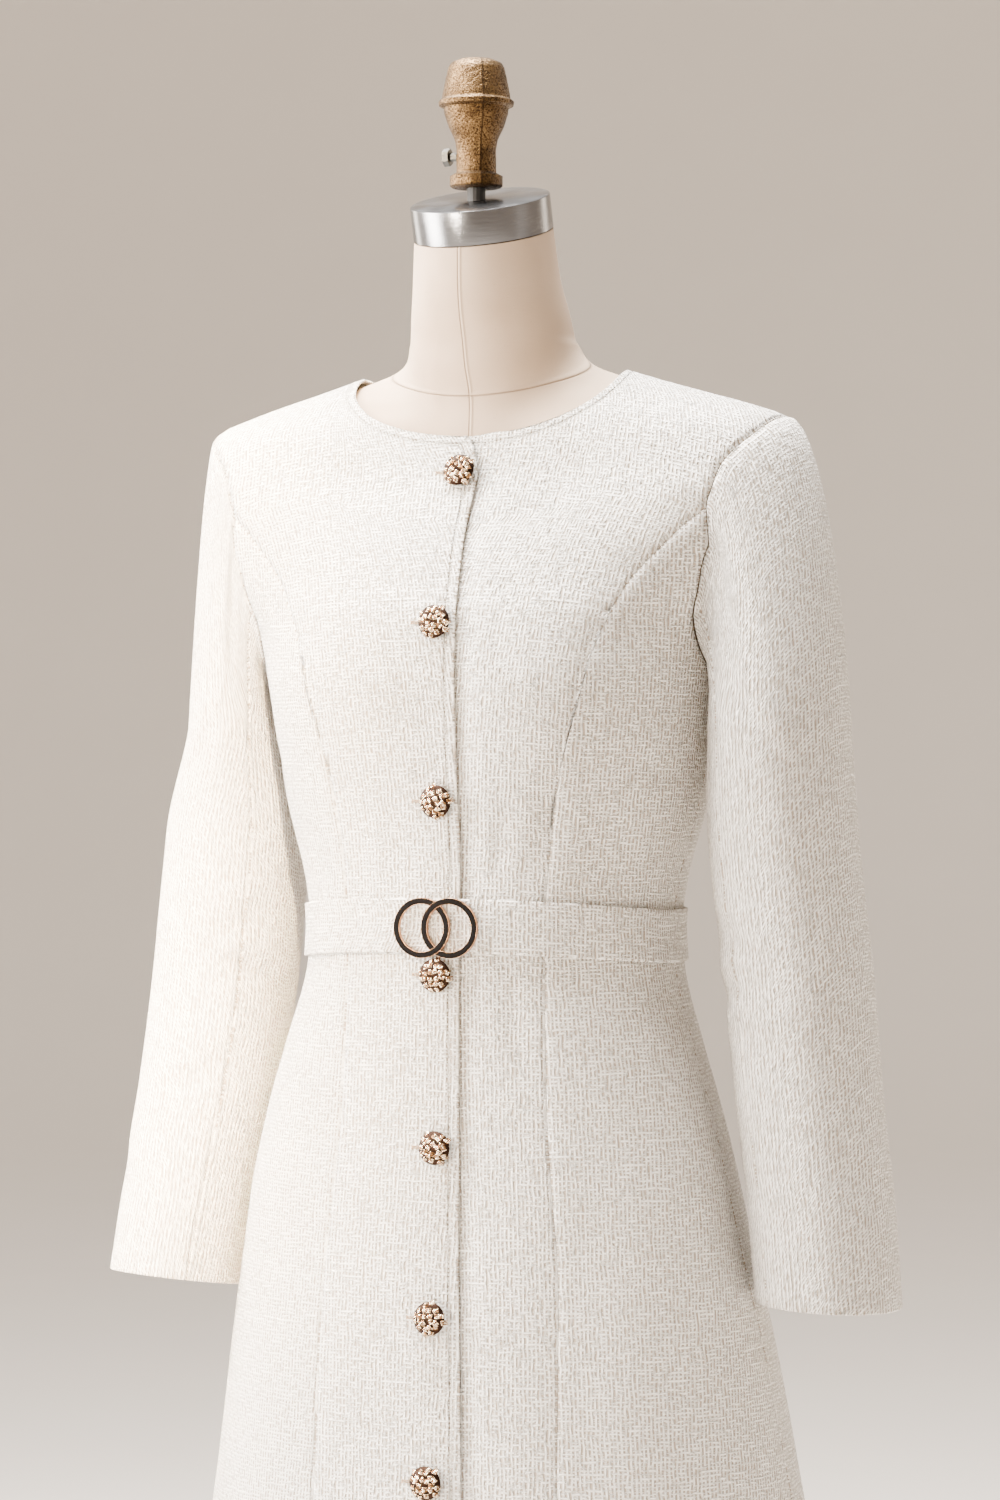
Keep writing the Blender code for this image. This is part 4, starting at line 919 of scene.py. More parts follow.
def shell(name, net, normal, material, wall=CLOTH, closed=False, seams=(), edges=(), plumb=False):
    """A closed cloth shell on a net of points, with rounded rims, its UV map and its measures."""
    net, normal = net.copy(), normal.copy()
    rows, columns = net.shape[:2]
    loops = border(rows, columns, closed)
    outward = []
    for loop in loops:
        here = np.array([net[r, c] for r, c, _, _ in loop])
        ways = here - np.array([net[ir, ic] for _, _, ir, ic in loop])
        facing = np.array([normal[r, c] for r, c, _, _ in loop])
        line = unit(np.roll(here, -1, axis=0) - np.roll(here, 1, axis=0))
        square = np.array([abs(r - ir) + abs(c - ic) == 1 for r, c, ir, ic in loop])[:, None]
        ways -= np.where(square, np.sum(ways * line, axis=1, keepdims=True) * line, 0)
        ways -= np.sum(ways * facing, axis=1, keepdims=True) * facing
        ways = unit(ways)
        outward.append(ways)
        for (r, c, _, _), way in zip(loop, ways):
            net[r, c] = net[r, c] - way * wall / 2
    u, v = run_lengths(net, 1), run_lengths(net, 0)
    if plumb:
        u, v = upright_grain(net, normal)
    elif not closed:
        u = u - u[:, columns // 2:columns // 2 + 1]
    seam, edge = nearest(net, seams), nearest(net, edges)
    inner = net - normal * wall
    vertices = [net.reshape(-1, 3), inner.reshape(-1, 3)]
    count = rows * columns
    spans = columns if closed else columns - 1
    faces = []
    for row in range(rows - 1):
        for column in range(spans):
            a, b = row * columns + column, row * columns + (column + 1) % columns
            faces.append((a, b, b + columns, a + columns))
            faces.append((a + count, a + columns + count, b + columns + count, b + count))
    total = 2 * count
    source = [*range(count), *range(count)]
    for loop, ways in zip(loops, outward):
        places = [r * columns + c for r, c, _, _ in loop]
        here = net.reshape(-1, 3)[places]
        facing = normal.reshape(-1, 3)[places]
        rings = [places]
        for step in range(1, RIM_STEPS):
            turn = math.pi * step / RIM_STEPS
            out = ways * math.sin(turn) * wall / 2 + facing * (math.cos(turn) - 1) * wall / 2
            vertices.append(here + out)
            source += places
            rings.append(list(range(total, total + len(places))))
            total += len(places)
        rings.append([place + count for place in places])
        for first, second in zip(rings, rings[1:]):
            for i in range(len(places)):
                j = (i + 1) % len(places)
                faces.append((first[i], second[i], second[j], first[j]))
    vertices = np.concatenate(vertices)
    if np.cross(net[0, 1] - net[0, 0], net[1, 0] - net[0, 0]) @ normal[0, 0] < 0:
        faces = [face[::-1] for face in faces]
    made = new_object(name, vertices, faces)
    source = np.array(source)
    corner = np.empty(len(made.data.loops), dtype=np.int64)
    made.data.loops.foreach_get("vertex_index", corner)
    pairs = np.stack([u.ravel()[source], v.ravel()[source]], axis=1)[corner]
    if closed:
        round_length = float(u.max() - u.min()) + np.linalg.norm(net[0, 0] - net[0, -1])
        pairs = closed_pairs(made.data, pairs, round_length)
    made.data.uv_layers.new(name="grain").data.foreach_set("uv", pairs.ravel())
    for label, values in (("seam", seam), ("edge", edge)):
        keep_measure(made, label, values.ravel()[source])
    made.data.materials.append(material)
    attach(made, "root")
    return made


def closed_pairs(mesh, pairs, round_length):
    """UV pairs of a closed net, so that the last span doesn't run back over the whole map."""
    pairs = pairs.copy()
    for face in mesh.polygons:
        places = list(face.loop_indices)
        across = pairs[places, 0]
        if across.max() - across.min() > round_length / 2:
            behind = across < across.max() - round_length / 2
            pairs[places, 0] = np.where(behind, across + round_length, across)
    return pairs


def cut_size(net):
    """A piece's flat width, length and area, measured on its net before it is hung."""
    width, length = run_lengths(net, 1)[:, -1], run_lengths(net, 0)[-1]
    sides = net[1:, :-1] - net[:-1, :-1], net[:-1, 1:] - net[:-1, :-1]
    area = float(np.linalg.norm(np.cross(*sides), axis=-1).sum())
    return (float(width.max()), float(length.max())), area


def declare(piece, net, node, rests_on=("form_body",)):
    """Hides the solid that a piece stands for, and prints the size it was cut to and its triangles."""
    flat, area = cut_size(net)
    area = min(max(area, LEAST_SHARE * flat[0] * flat[1]), flat[0] * flat[1])
    list(rests_on)
    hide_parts(node)
    cut = " by ".join(str(round(length, 3)) for length in flat)
    print(piece.name, "cut", cut, "m, triangles", triangles(piece))


def stand_in(piece, node):
    """Hangs a piece on the part's root in place of one of its solids, which is hidden."""
    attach(piece, "root")
    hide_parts(node)


# %% [markdown]
# ## The panels of the body
# Each panel's net is laid on the figure and then pressed in by the creases.  The under front lies one
# cloth lower where the upper front covers it.

# %% Sew the fronts, the sides and the back
def creased(net):
    """The net pressed in by the creases, and its normals."""
    normal = figure_normal(net)
    net = net - normal * crease_depth(net)[..., None]
    around = np.gradient(net, axis=1)
    along = np.gradient(net, axis=0)
    facing = unit(np.cross(around, along))
    facing *= np.sign(np.sum(facing * normal, axis=-1, keepdims=True))
    return net, facing


def panel(node, net, drop=None, edges=(NECK_EDGE,)):
    """One panel of the body as a shell, in place of its solid."""
    side = 1.0 if net[..., 0].mean() > 0 else -1.0
    seams = [line * (side, 1, 1) for line in SEAM_LINES]
    if node == "back":
        seams += [line * (-side, 1, 1) for line in SEAM_LINES]
    pressed, facing = creased(net)
    if drop is not None:
        pressed = pressed - facing * drop[..., None]
    piece = shell(f"{node}_cloth", pressed, facing, dress_cloth, seams=seams, edges=edges,
                  plumb=node.startswith("side"))
    declare(piece, net, node)


def front_edge(front, edge_x, start):
    """A front's upper edge and its long edge, for its start along the neckline."""
    top = top_edge(start, NECK_COLUMNS_FRONT if front else NECK_COLUMNS_FRONT + 1)
    long_edge = middle_edge(True, edge_x, top[0][2] - EYE)
    return top, reaching(long_edge, top[0])


def hem_points(first_x, last_x, count, front):
    """Evenly spread points of the hem of a front or the back."""
    places = np.linspace(first_x, last_x, count)
    return on_figure([middle_point(PRINCESS_HEIGHTS[0], x, front) for x in places])


def front_nets():
    """The upper front's net, and the under front's net with its drop below the upper one."""
    right = np.concatenate([FRONT_PRINCESS, ARMHOLE_LOOP[TIP:FRONT_MEETS][::-1]])
    start = -math.asin(OVERLAP[-1][1] / NECK_WIDTH)
    top, left = front_edge(True, lambda height: -float(overlap_at(height)[0]), start)
    upper = patch(left, right, hem_points(left[0][0], right[0][0], len(top), True), top, front=True)
    top, left = front_edge(False, lambda height: UNDERLAP, math.asin(UNDERLAP / NECK_WIDTH))
    knots = NECK_COLUMNS_FRONT + SHOULDER_COLUMNS + 2
    reach = (right[:, 0] - UNDERLAP)[:, None]
    under = (overlap_at(left[:, 2] - EYE) + TOPSTITCH_MARGIN - UNDERLAP) / reach
    rest = np.linspace(0, 1, knots - 2)[None]
    coarse = np.concatenate([0 * reach, under, (under + LAYER_FADE / reach) * (1 - rest) + rest], axis=1)
    at = np.linspace(0, knots - 1, len(top))
    shares = np.array([np.interp(at, np.arange(knots), row) for row in coarse])
    bottom = on_figure([middle_point(PRINCESS_HEIGHTS[0], left[0][0] + s * (right[0][0] - left[0][0]), True)
                        for s in shares[0]])
    net = patch(left, right, bottom, top, shares, front=True)
    fade = np.clip(at - 1, 0, 1)
    drop = np.tile(LAYER_DROP * (1 - smooth_share(fade)), (len(left), 1))
    return upper, net, drop


upper_net, under_net, under_drop = front_nets()
right_front = mirrored(upper_net)
FRONT_EDGE = right_front[:, -1]
panel("front_right", right_front, edges=(NECK_EDGE, FRONT_EDGE))
panel("front_left", under_net, under_drop)


def side_net(left, right, first_angle, last_angle, arm_from):
    """A side panel's net, its hem between two angles and its top along the armhole."""
    angles = np.linspace(first_angle, last_angle, ARM_LOW + 1)
    hem = on_figure([level_point(PRINCESS_HEIGHTS[0], angle) for angle in angles])
    return patch(left, right, hem, ARMHOLE_LOOP[arm_from:arm_from + ARM_LOW + 1])


front_angle = level_angle(PRINCESS_HEIGHTS[0], FRONT_PRINCESS[0][0])
back_angle = math.pi - level_angle(PRINCESS_HEIGHTS[0], BACK_PRINCESS[0][0])
SIDE_NETS = {
    "side_front": side_net(FRONT_PRINCESS, SIDE_SEAM, front_angle, math.pi / 2, FRONT_MEETS),
    "side_back": side_net(SIDE_SEAM, BACK_PRINCESS, math.pi / 2, back_angle, UNDERARM),
}
for node, net in SIDE_NETS.items():
    panel(f"{node}_left", net)
    panel(f"{node}_right", mirrored(net))

right = np.concatenate([BACK_PRINCESS, ARMHOLE_LOOP[BACK_MEETS + 1:]])
top = top_edge(math.pi, NECK_COLUMNS_BACK)
left = reaching(middle_edge(False, lambda height: 0.0, top[0][2] - EYE), top[0])
half = patch(left, right, hem_points(0.0, right[0][0], len(top), False), top, front=False)
panel("back", np.concatenate([mirrored(half), half[:, 1:]], axis=1))

# %% [markdown]
# ## The sleeves
# A sleeve is set into the armhole with a little more cloth than the hole needs, so its head stands up at
# the shoulder before it falls.  Rings down the arm are joined to the armhole by smooth cubic curves.
# Shallow folds lie at the elbow, where the sleeve bends.

# %% Sew the sleeves and the cuff facings
# Rings from the upper arm to the cuff.
# Columns: height, middle X, middle Y, reach to the body, reach outward, half depth.
ARMS = {
    "left": (
        (0.015, 0.2120, -0.005, 0.0460, 0.0500, 0.060),
        (-0.060, 0.2160, -0.003, 0.0515, 0.0515, 0.056),
        (-0.150, 0.2250, 0.000, 0.0520, 0.0520, 0.054),
        (-0.240, 0.2330, 0.002, 0.0510, 0.0510, 0.053),
        (-0.310, 0.2410, 0.002, 0.0505, 0.0510, 0.0525),
        (-0.381, 0.2470, 0.002, 0.0500, 0.0500, 0.0525),
    ),
    "right": (
        (0.015, 0.1990, 0.0175, 0.0340, 0.0415, 0.058),
        (-0.060, 0.2110, 0.0250, 0.0500, 0.0530, 0.056),
        (-0.150, 0.2195, 0.0215, 0.0520, 0.0530, 0.054),
        (-0.240, 0.2250, 0.0060, 0.0500, 0.0520, 0.053),
        (-0.310, 0.2300, -0.0105, 0.0460, 0.0510, 0.0525),
        (-0.381, 0.2350, -0.0285, 0.0440, 0.0490, 0.0525),
    ),
}
CUFF_LEVEL = {"left": -0.042, "right": 0.077}   # how much each ring rises towards its outer side
SLEEVE_FULLNESS = 2.1
CAP_ROWS = 6 * ROW_STEPS
CAP_CROWDING = 1.15
HANG_FROM = 0.55
ARM_ROWS = 10 * ROW_STEPS
# How far the head's curves reach out of the armhole and back from the first ring: under, side, top.
CAP_REACH = {"left": (0.030, 0.050, 0.085), "right": (0.030, 0.015, 0.035)}
CAP_END = {"left": (0.020, 0.110, 0.200), "right": (0.020, 0.110, 0.150)}
CAP_LIFT = {"left": (0.75, 0.0, 0.20), "right": (-0.05, 0.0, 0.0)}   # how the sleeve head leaves the shoulder
UNDERARM_WAY = (0.86, 0.0, -0.50)
SLEEVE_GAP = 0.0004
FRONT_SEAM = FRONT_MEETS + 2 * UNDERARM_STEPS
BACK_SEAM = UNDERARM + 3 * UNDERARM_STEPS
CUFF_EASE = 12                     # rows above the cuff that are spaced evenly down to its slanting edge
CUFF_FACING = {"depth": 0.036, "wall": 0.0009, "inset": 0.0035, "gap": 0.0005, "rows": 14}
ARM_STEP = 0.002                   # metres, for the arm's direction
# The head's eased cloth, close to the armhole: how deep, from where, how far, how many, how uneven.
HEAD_RIPPLE = {"depth": 0.0005, "from": 0.004, "reach": 0.022, "count": 23, "wander": 1.3, "wanders": 5}
# A fold's bow and fade, and the ridge above it: its share of the depth and its distance in widths.
FOLD = {"bow": 0.010, "fade": 1.5, "ridge": 0.45, "ridge_off": 1.7}

# Folds of a sleeve.  Columns: turn round the arm (0 outer, 1/4 front, 1/2 the body's side, 3/4 back),
# height, half length round the arm, rise along it, depth, width.
SLEEVE_FOLDS = {
    "left": (
        (0.34, -0.130, 0.13, 0.020, 0.0024, 0.011),
        (0.40, -0.165, 0.15, -0.012, 0.0026, 0.010),
        (0.30, -0.200, 0.12, 0.016, 0.0018, 0.012),
        (0.24, 0.020, 0.10, 0.045, 0.0016, 0.013),
        (0.80, -0.145, 0.14, -0.015, 0.0022, 0.012),
        (0.72, -0.050, 0.12, 0.030, 0.0018, 0.014),
        (0.10, -0.290, 0.16, 0.028, 0.0012, 0.016),
    ),
    "right": (
        (0.36, -0.120, 0.13, 0.018, 0.0022, 0.011),
        (0.42, -0.160, 0.14, -0.014, 0.0024, 0.010),
        (0.28, -0.235, 0.12, 0.020, 0.0018, 0.013),
        (0.22, 0.010, 0.10, 0.040, 0.0014, 0.013),
        (0.78, -0.150, 0.15, -0.012, 0.0022, 0.012),
        (0.70, -0.040, 0.12, 0.032, 0.0018, 0.014),
        (0.14, -0.310, 0.15, -0.024, 0.0012, 0.016),
    ),
}


def column_turns():
    """Each net column's turn round the arm, from 0 to 1, as the solid model's columns are spread."""
    knots = (0, FRONT_MEETS, UNDERARM, BACK_MEETS, len(ARMHOLE_LOOP) - 1)
    return np.interp(np.arange(len(ARMHOLE_LOOP)), knots, (0, 0.25, 0.5, 0.75, 1.0))


def hermite(start, end, leave, arrive, part):
    """A point of the cubic that leaves one point and arrives at another."""
    rise, out, back = cubic_weights(part)
    return start * (1 - rise) + end * rise + leave * out + arrive * back


def arm_rings(side):
    """The sleeve's rings from the upper arm to the cuff, and the arm's direction at the first."""
    arm_at = smooth_table([(-row[0], *row[1:]) for row in ARMS[side]])
    first, last = ARMS[side][0][0], ARMS[side][-1][0]
    turns = column_turns() * 2 * math.pi
    power = 2 / SLEEVE_FULLNESS
    across = np.sign(np.cos(turns)) * np.abs(np.cos(turns)) ** power
    along = np.sign(np.sin(turns)) * np.abs(np.sin(turns)) ** power
    rings, downs = [], []
    for height in np.linspace(first, last, ARM_ROWS + 1):
        x, y, inner, outer, depth = arm_at(-height)
        ahead, behind = arm_at(-height + ARM_STEP), arm_at(-height - ARM_STEP)
        down = np.array([ahead[0] - behind[0], ahead[1] - behind[1], -2 * ARM_STEP])
        down /= np.linalg.norm(down)
        outward = np.array([1.0, 0, CUFF_LEVEL[side]])
        outward /= np.linalg.norm(outward)
        ahead_way = np.cross(outward, down)
        ahead_way *= -np.sign(ahead_way[1])
        width = np.where(across > 0, outer, inner)
        centre = np.array([x, y, EYE + height])
        rings.append(centre + (across * width)[:, None] * outward + (along * depth)[:, None] * ahead_way)
        downs.append(down)
    return np.array(rings), downs


def sleeve_net(side):
    """The outer points of a sleeve on the wearer's left, from the armhole to the cuff."""
    rings, downs = arm_rings(side)
    loop = ARMHOLE_LOOP
    tangent = np.roll(loop[:-1], -1, axis=0) - np.roll(loop[:-1], 1, axis=0)
    tangent = np.concatenate([tangent, tangent[:1]])
    over = np.cross(figure_normal(loop), unit(tangent))
    over *= np.where(over[:, :1] < 0, -1.0, 1.0)
    over[UNDERARM] = (over[UNDERARM - 1] + over[UNDERARM + 1]) / 2
    nearness = (1 + np.cos(column_turns() * 2 * math.pi)) / 2
    hang = np.clip((HANG_FROM - nearness) / HANG_FROM, 0, 1)[:, None]
    hang = smooth_share(hang)
    leave = unit(over + np.array(CAP_LIFT[side]))
    leave = unit((1 - hang) * leave + hang * np.array(UNDERARM_WAY))
    reach = np.interp(nearness, (0, 0.5, 1), CAP_REACH[side])
    end = np.interp(nearness, (0, 0.5, 1), CAP_END[side])
    start = loop + leave * SLEEVE_GAP
    rows = [start]
    for row in range(1, CAP_ROWS):
        part = (row / CAP_ROWS) ** CAP_CROWDING
        rows.append(hermite(start, rings[0], leave * reach[:, None], downs[0] * end[:, None], part))
    net = np.concatenate([np.array(rows), rings])
    share = np.linspace(0, 1, CUFF_EASE + 1)[:, None, None]
    net[-CUFF_EASE - 1:] = net[-CUFF_EASE - 1] * (1 - share) + net[-1] * share
    return net, leave


def round_normals(net, first_way):
    """Unit normals of a net that closes on itself, pointing out; first_way leads off the first row."""
    body = net[:, :-1]
    around = np.roll(body, -1, axis=1) - np.roll(body, 1, axis=1)
    along = np.gradient(body, axis=0)
    along[0] = first_way[:-1] * 0.01
    facing = unit(np.cross(around, along))
    return np.concatenate([facing, facing[:, :1]], axis=1)


def fold_depth(side, net):
    """How far a sleeve's folds press its net in."""
    turns = column_turns()[None]
    heights = net[..., 2] - EYE
    total = np.zeros(net.shape[:2])
    for turn, height, reach, rise, depth, width in SLEEVE_FOLDS[side]:
        off = (turns - turn + 0.5) % 1.0 - 0.5
        fade = np.clip(1 - (off / reach) ** 2, 0, 1) ** FOLD["fade"]
        middle = height + rise * off / reach - FOLD["bow"] * (off / reach) ** 2
        ridge = (heights - middle - FOLD["ridge_off"] * width) / width
        total += depth * np.exp(-(((heights - middle) / width) ** 2)) * fade
        total -= FOLD["ridge"] * depth * np.exp(-(ridge**2)) * fade
    down, round_arm = run_lengths(net, 0), turns * 2 * math.pi
    near_head = np.clip(down / HEAD_RIPPLE["from"], 0, 1) * np.exp(-((down / HEAD_RIPPLE["reach"]) ** 2))
    wander = HEAD_RIPPLE["wander"] * np.sin(round_arm * HEAD_RIPPLE["wanders"])
    ripple = np.sin(round_arm * HEAD_RIPPLE["count"] + wander)
    high = (1 + np.cos(round_arm)) / 2
    return total + HEAD_RIPPLE["depth"] * ripple * near_head * high


def sew_sleeve(side):
    """A sleeve's upper and under part, and the facing inside its cuff."""
    net, leave = sleeve_net(side)
    facing = round_normals(net, leave)
    pressed = net - facing * fold_depth(side, net)[..., None]
    facing = round_normals(pressed, leave)
    columns = len(ARMHOLE_LOOP) - 1
    parts = {"upper": [*range(BACK_SEAM, columns), *range(FRONT_SEAM + 1)],
             "under": [*range(FRONT_SEAM, BACK_SEAM + 1)]}
    seams = [pressed[0], pressed[:, FRONT_SEAM], pressed[:, BACK_SEAM]]
    flip = mirrored if side == "right" else np.copy
    for part, chosen in parts.items():
        node = f"{part}_sleeve_{side}"
        lines = [flip(line[:, None])[:, 0] for line in seams]
        piece = shell(f"{node}_cloth", flip(pressed[:, chosen]), flip(facing[:, chosen]), dress_cloth,
                      seams=lines)
        declare(piece, net[:, chosen], node, rests_on=("front_" + side, "back"))
    down = run_lengths(net, 0)
    rows = []
    for step in range(CUFF_FACING["rows"] + 1):
        up = CUFF_FACING["inset"] + CUFF_FACING["depth"] * step / CUFF_FACING["rows"]
        rows.append([[np.interp(down[-1, c] - up, down[:, c], pressed[:, c, axis]) for axis in range(3)]
                     for c in range(columns)])
    band = np.array(rows)
    away = np.repeat(facing[-1:, :-1], len(band), axis=0)
    band = band - away * (CLOTH + CUFF_FACING["gap"] + facing_pleats(len(band), columns)[..., None])
    piece = shell(f"cuff_facing_{side}_cloth", flip(band), flip(away), facing_cloth,
                  wall=CUFF_FACING["wall"], closed=True)
    declare(piece, np.concatenate([band, band[:, :1]], axis=1), f"cuff_facing_{side}",
            rests_on=(f"upper_sleeve_{side}", f"under_sleeve_{side}"))


# The facing's small pleats: turn round the cuff, lean over the band's depth, depth.
PLEATS = ((0.690, 0.020, 0.0011), (0.760, -0.026, 0.0014), (0.835, 0.022, 0.0011), (0.30, 0.015, 0.0009))
PLEAT_SLOW, PLEAT_STEEP = 0.030, 0.006   # turns: the widths of a pleat's two sides


def facing_pleats(rows, columns):
    """How far the facing stands into the cuff at its small pleats: one steep side and one slow one."""
    turns = column_turns()[None, :-1]
    up = np.linspace(0, 1, rows)[:, None]
    total = np.zeros((rows, columns))
    for turn, lean, depth in PLEATS:
        off = (turns - turn - lean * up**1.5 + 0.5) % 1.0 - 0.5
        total += depth * np.exp(-((off / np.where(off > 0, PLEAT_SLOW, PLEAT_STEEP)) ** 2))
    return total


for side in ARMS:
    sew_sleeve(side)

# %% [markdown]
# ## The belt
# The belt is a strip of the same tweed, doubled over a stiff core, so it is thicker than the dress and
# its edges are fuller.  It follows the waist a few tenths of a millimetre off the cloth, dips at the
# sides, and gathers a little where it passes behind the rings.

# %% Make the belt
BELT = {"height": 0.037, "wall": 0.0025, "front": -0.1205, "side_drop": 0.009, "sweep": 1.5,
        "gap": 0.0008, "crown": 0.0004}
BELT_NET = {"columns": 220, "rows": 10}
BELT_GATHERS = {"reach": 0.030, "depth": 0.0006, "pitch": 0.0062}


def belt_net():
    """The belt's outer points round the waist, and their normals."""
    columns = []
    for column in range(BELT_NET["columns"]):
        angle = 2 * math.pi * column / BELT_NET["columns"]
        rise = max(math.cos(angle), 0.0) ** BELT["sweep"]
        middle = BELT["front"] - BELT["side_drop"] * (1 - rise)
        heights = middle + np.linspace(-0.5, 0.5, BELT_NET["rows"] + 1) * BELT["height"]
        columns.append([level_point(height, angle) for height in heights])
    net = on_figure(np.array(columns)).transpose(1, 0, 2)
    away = unit(figure_normal(net) * (1, 1, 0))
    up = np.linspace(-1, 1, BELT_NET["rows"] + 1)[:, None]
    near_rings = np.exp(-((net[..., 0] / BELT_GATHERS["reach"]) ** 4)) * (net[..., 1] < 0)
    gathers = np.sin(net[..., 0] * 2 * math.pi / BELT_GATHERS["pitch"] + up) * near_rings
    lift = BELT["gap"] + BELT["wall"] + BELT["crown"] * (1 - up**2)
    lift = lift + BELT_GATHERS["depth"] * (gathers - 1) * near_rings
    return net + away * lift[..., None], away


net, away = belt_net()
belt = shell("belt_cloth", net, away, dress_cloth, wall=BELT["wall"] - BELT_GATHERS["depth"], closed=True)
declare(belt, np.concatenate([net, net[:, :1]], axis=1), "belt", rests_on=("front_right", "back"))
BELT_FACE = float(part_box("belt")[0][1])
print("belt's foremost y", round(BELT_FACE, 4))

# %% [markdown]
# ## The buckle's two rings
# Two plain rings are set side by side and cross.  Each is a flat band of polished rose-gold metal with
# dark enamel on its front, and a thin metal lip shows round the enamel.  The section is one short list
# of corners, turned round each ring, and a gentle sway lets each ring pass over the other once.

# %% Make the rings
RINGS = {"radius": 0.0207, "band": 0.0042, "depth": 0.0030, "spacing": 0.0205, "x": 0.0008, "lip": 0.00015,
         "crown": 0.00015, "bevel": 0.0002, "gap": 0.0003, "base": 0.001, "sway": 0.0006, "sag": 0.0015,
         "sides": 120}


def rose_gold():
    """Polished rose-gold metal with faint handling marks."""
    finish = Finish("rose_gold", (0.42, 0.22, 0.12), 0.35, 1.0)
    place = finish.place()
    marks = finish.grain(place, 900.0, 3.0)
    finish.put("Roughness", marks * 0.18 + 0.26)
    finish.put("Base Color", finish.blend(marks, (0.32, 0.165, 0.085), (0.48, 0.27, 0.155)))
    finish.bump(marks, 0.00003)
    return finish.material


def dark_enamel():
    """Smooth enamel, almost black, a little brown."""
    finish = Finish("dark_enamel", (0.003, 0.002, 0.002), 0.5, Specular_IOR_Level=0.02)
    pits = finish.grain(finish.place(), 1400.0, 2.0)
    dark, light = (0.0025, 0.002, 0.0018), (0.009, 0.006, 0.005)
    finish.put("Base Color", finish.blend(pits.ramp(0.5, 0.95), dark, light))
    finish.bump(pits, 0.00002)
    return finish.material


def ring_section():
    """The band's section: how far in from the rim, how far forward, and whether enamel follows."""
    band, depth, lip, crown = RINGS["band"], RINGS["depth"], RINGS["lip"], RINGS["crown"]
    face = [(lip + (band - 2 * lip) * s, depth + crown * (1 - (2 * s - 1) ** 2), int(s < 1))
            for s in (0, 0.25, 0.5, 0.75, 1)]
    return [(0, 0, 0), (0, depth - RINGS["bevel"], 0), (lip / 2, depth, 0), *face,
            (band - lip / 2, depth, 0), (band, depth - RINGS["bevel"], 0), (band, 0, 0)]


def ring_points(side, section):
    """One ring's points, on the viewer's left (-1) or right (1), swayed forward where it passes over."""
    centre = RINGS["x"] + side * RINGS["spacing"] / 2
    points = []
    for turn in np.linspace(0, 2 * math.pi, RINGS["sides"], endpoint=False):
        sway = RINGS["sway"] * max(0.0, math.sin(turn) * side * (0.6 - side * math.cos(turn) * 0.6))
        for inward, ahead, _ in section:
            radius = RINGS["radius"] - inward
            points.append((centre + radius * math.cos(turn),
                           BELT_FACE - RINGS["gap"] - ahead - sway * (ahead > RINGS["base"]),
                           EYE + BELT["front"] - RINGS["sag"] + radius * math.sin(turn)))
    return points


section = ring_section()
vertices, faces = [], []
for side in (-1, 1):
    faces += turned_over(tube_faces(RINGS["sides"], len(section), len(vertices), looped=True))
    vertices += ring_points(side, section)
rings = new_object("interlocking_rings", vertices, faces)
rings.data.materials.append(rose_gold())
rings.data.materials.append(dark_enamel())
rings.data.polygons.foreach_set("material_index", [row[2] for row in section] * (2 * RINGS["sides"]))
rings.data.set_sharp_from_angle(angle=math.radians(35))
stand_in(rings, "buckle")
print("rings triangles", triangles(rings))

# %% [markdown]
# ## Geometry Nodes helper
# Stitches, thread bars and woven strands all repeat one small shape.  A node tree is built in the script
# with named inputs, ends in Realize Instances and Set Material, and is then turned into a plain mesh.

# %% Define the tree builder
class Tree(Nodes):
    """A Geometry Nodes tree being built, with named inputs."""

    def __init__(self, name, **inputs):
        self.tree = bpy.data.node_groups.new(name, "GeometryNodeTree")
        self.tree.interface.new_socket("Geometry", in_out="INPUT", socket_type="NodeSocketGeometry")
        self.tree.interface.new_socket("Geometry", in_out="OUTPUT", socket_type="NodeSocketGeometry")
        self.values = inputs
        for label, value in inputs.items():
            kind = "NodeSocketInt" if isinstance(value, int) else "NodeSocketFloat"
            self.tree.interface.new_socket(label, in_out="INPUT", socket_type=kind)
        self.start = self.tree.nodes.new("NodeGroupInput")
        self.end = self.tree.nodes.new("NodeGroupOutput")

    def input(self, label):
        return Wire(self, self.start.outputs[label])

    def length(self, vector):
        return self.node("VectorMath", {0: vector}, output=1, operation="LENGTH")

    def finish(self, geometry, material):
        """Realizes the instances, sets their material and ends the tree."""
        real = self.node("GeometryNodeRealizeInstances", {0: geometry})
        shown = self.node("GeometryNodeSetMaterial", {"Geometry": real, "Material": material})
        self.link(self.end.inputs[0], shown)

    def made_on(self, carrier, name):
        """The tree's result on an object, as a plain mesh in a new object; the carrier goes."""
        modifier = carrier.modifiers.new("nodes", "NODES")
        modifier.node_group = self.tree
        for socket in self.tree.interface.items_tree:
            if socket.in_out == "INPUT" and socket.name in self.values:
                modifier[socket.identifier] = self.values[socket.name]
        graph = bpy.context.evaluated_depsgraph_get()
        graph.update()
        mesh = bpy.data.meshes.new_from_object(carrier.evaluated_get(graph))
        mesh.name = name
        bpy.data.objects.remove(carrier)
        mesh.shade_smooth()
        return placed(name, mesh)


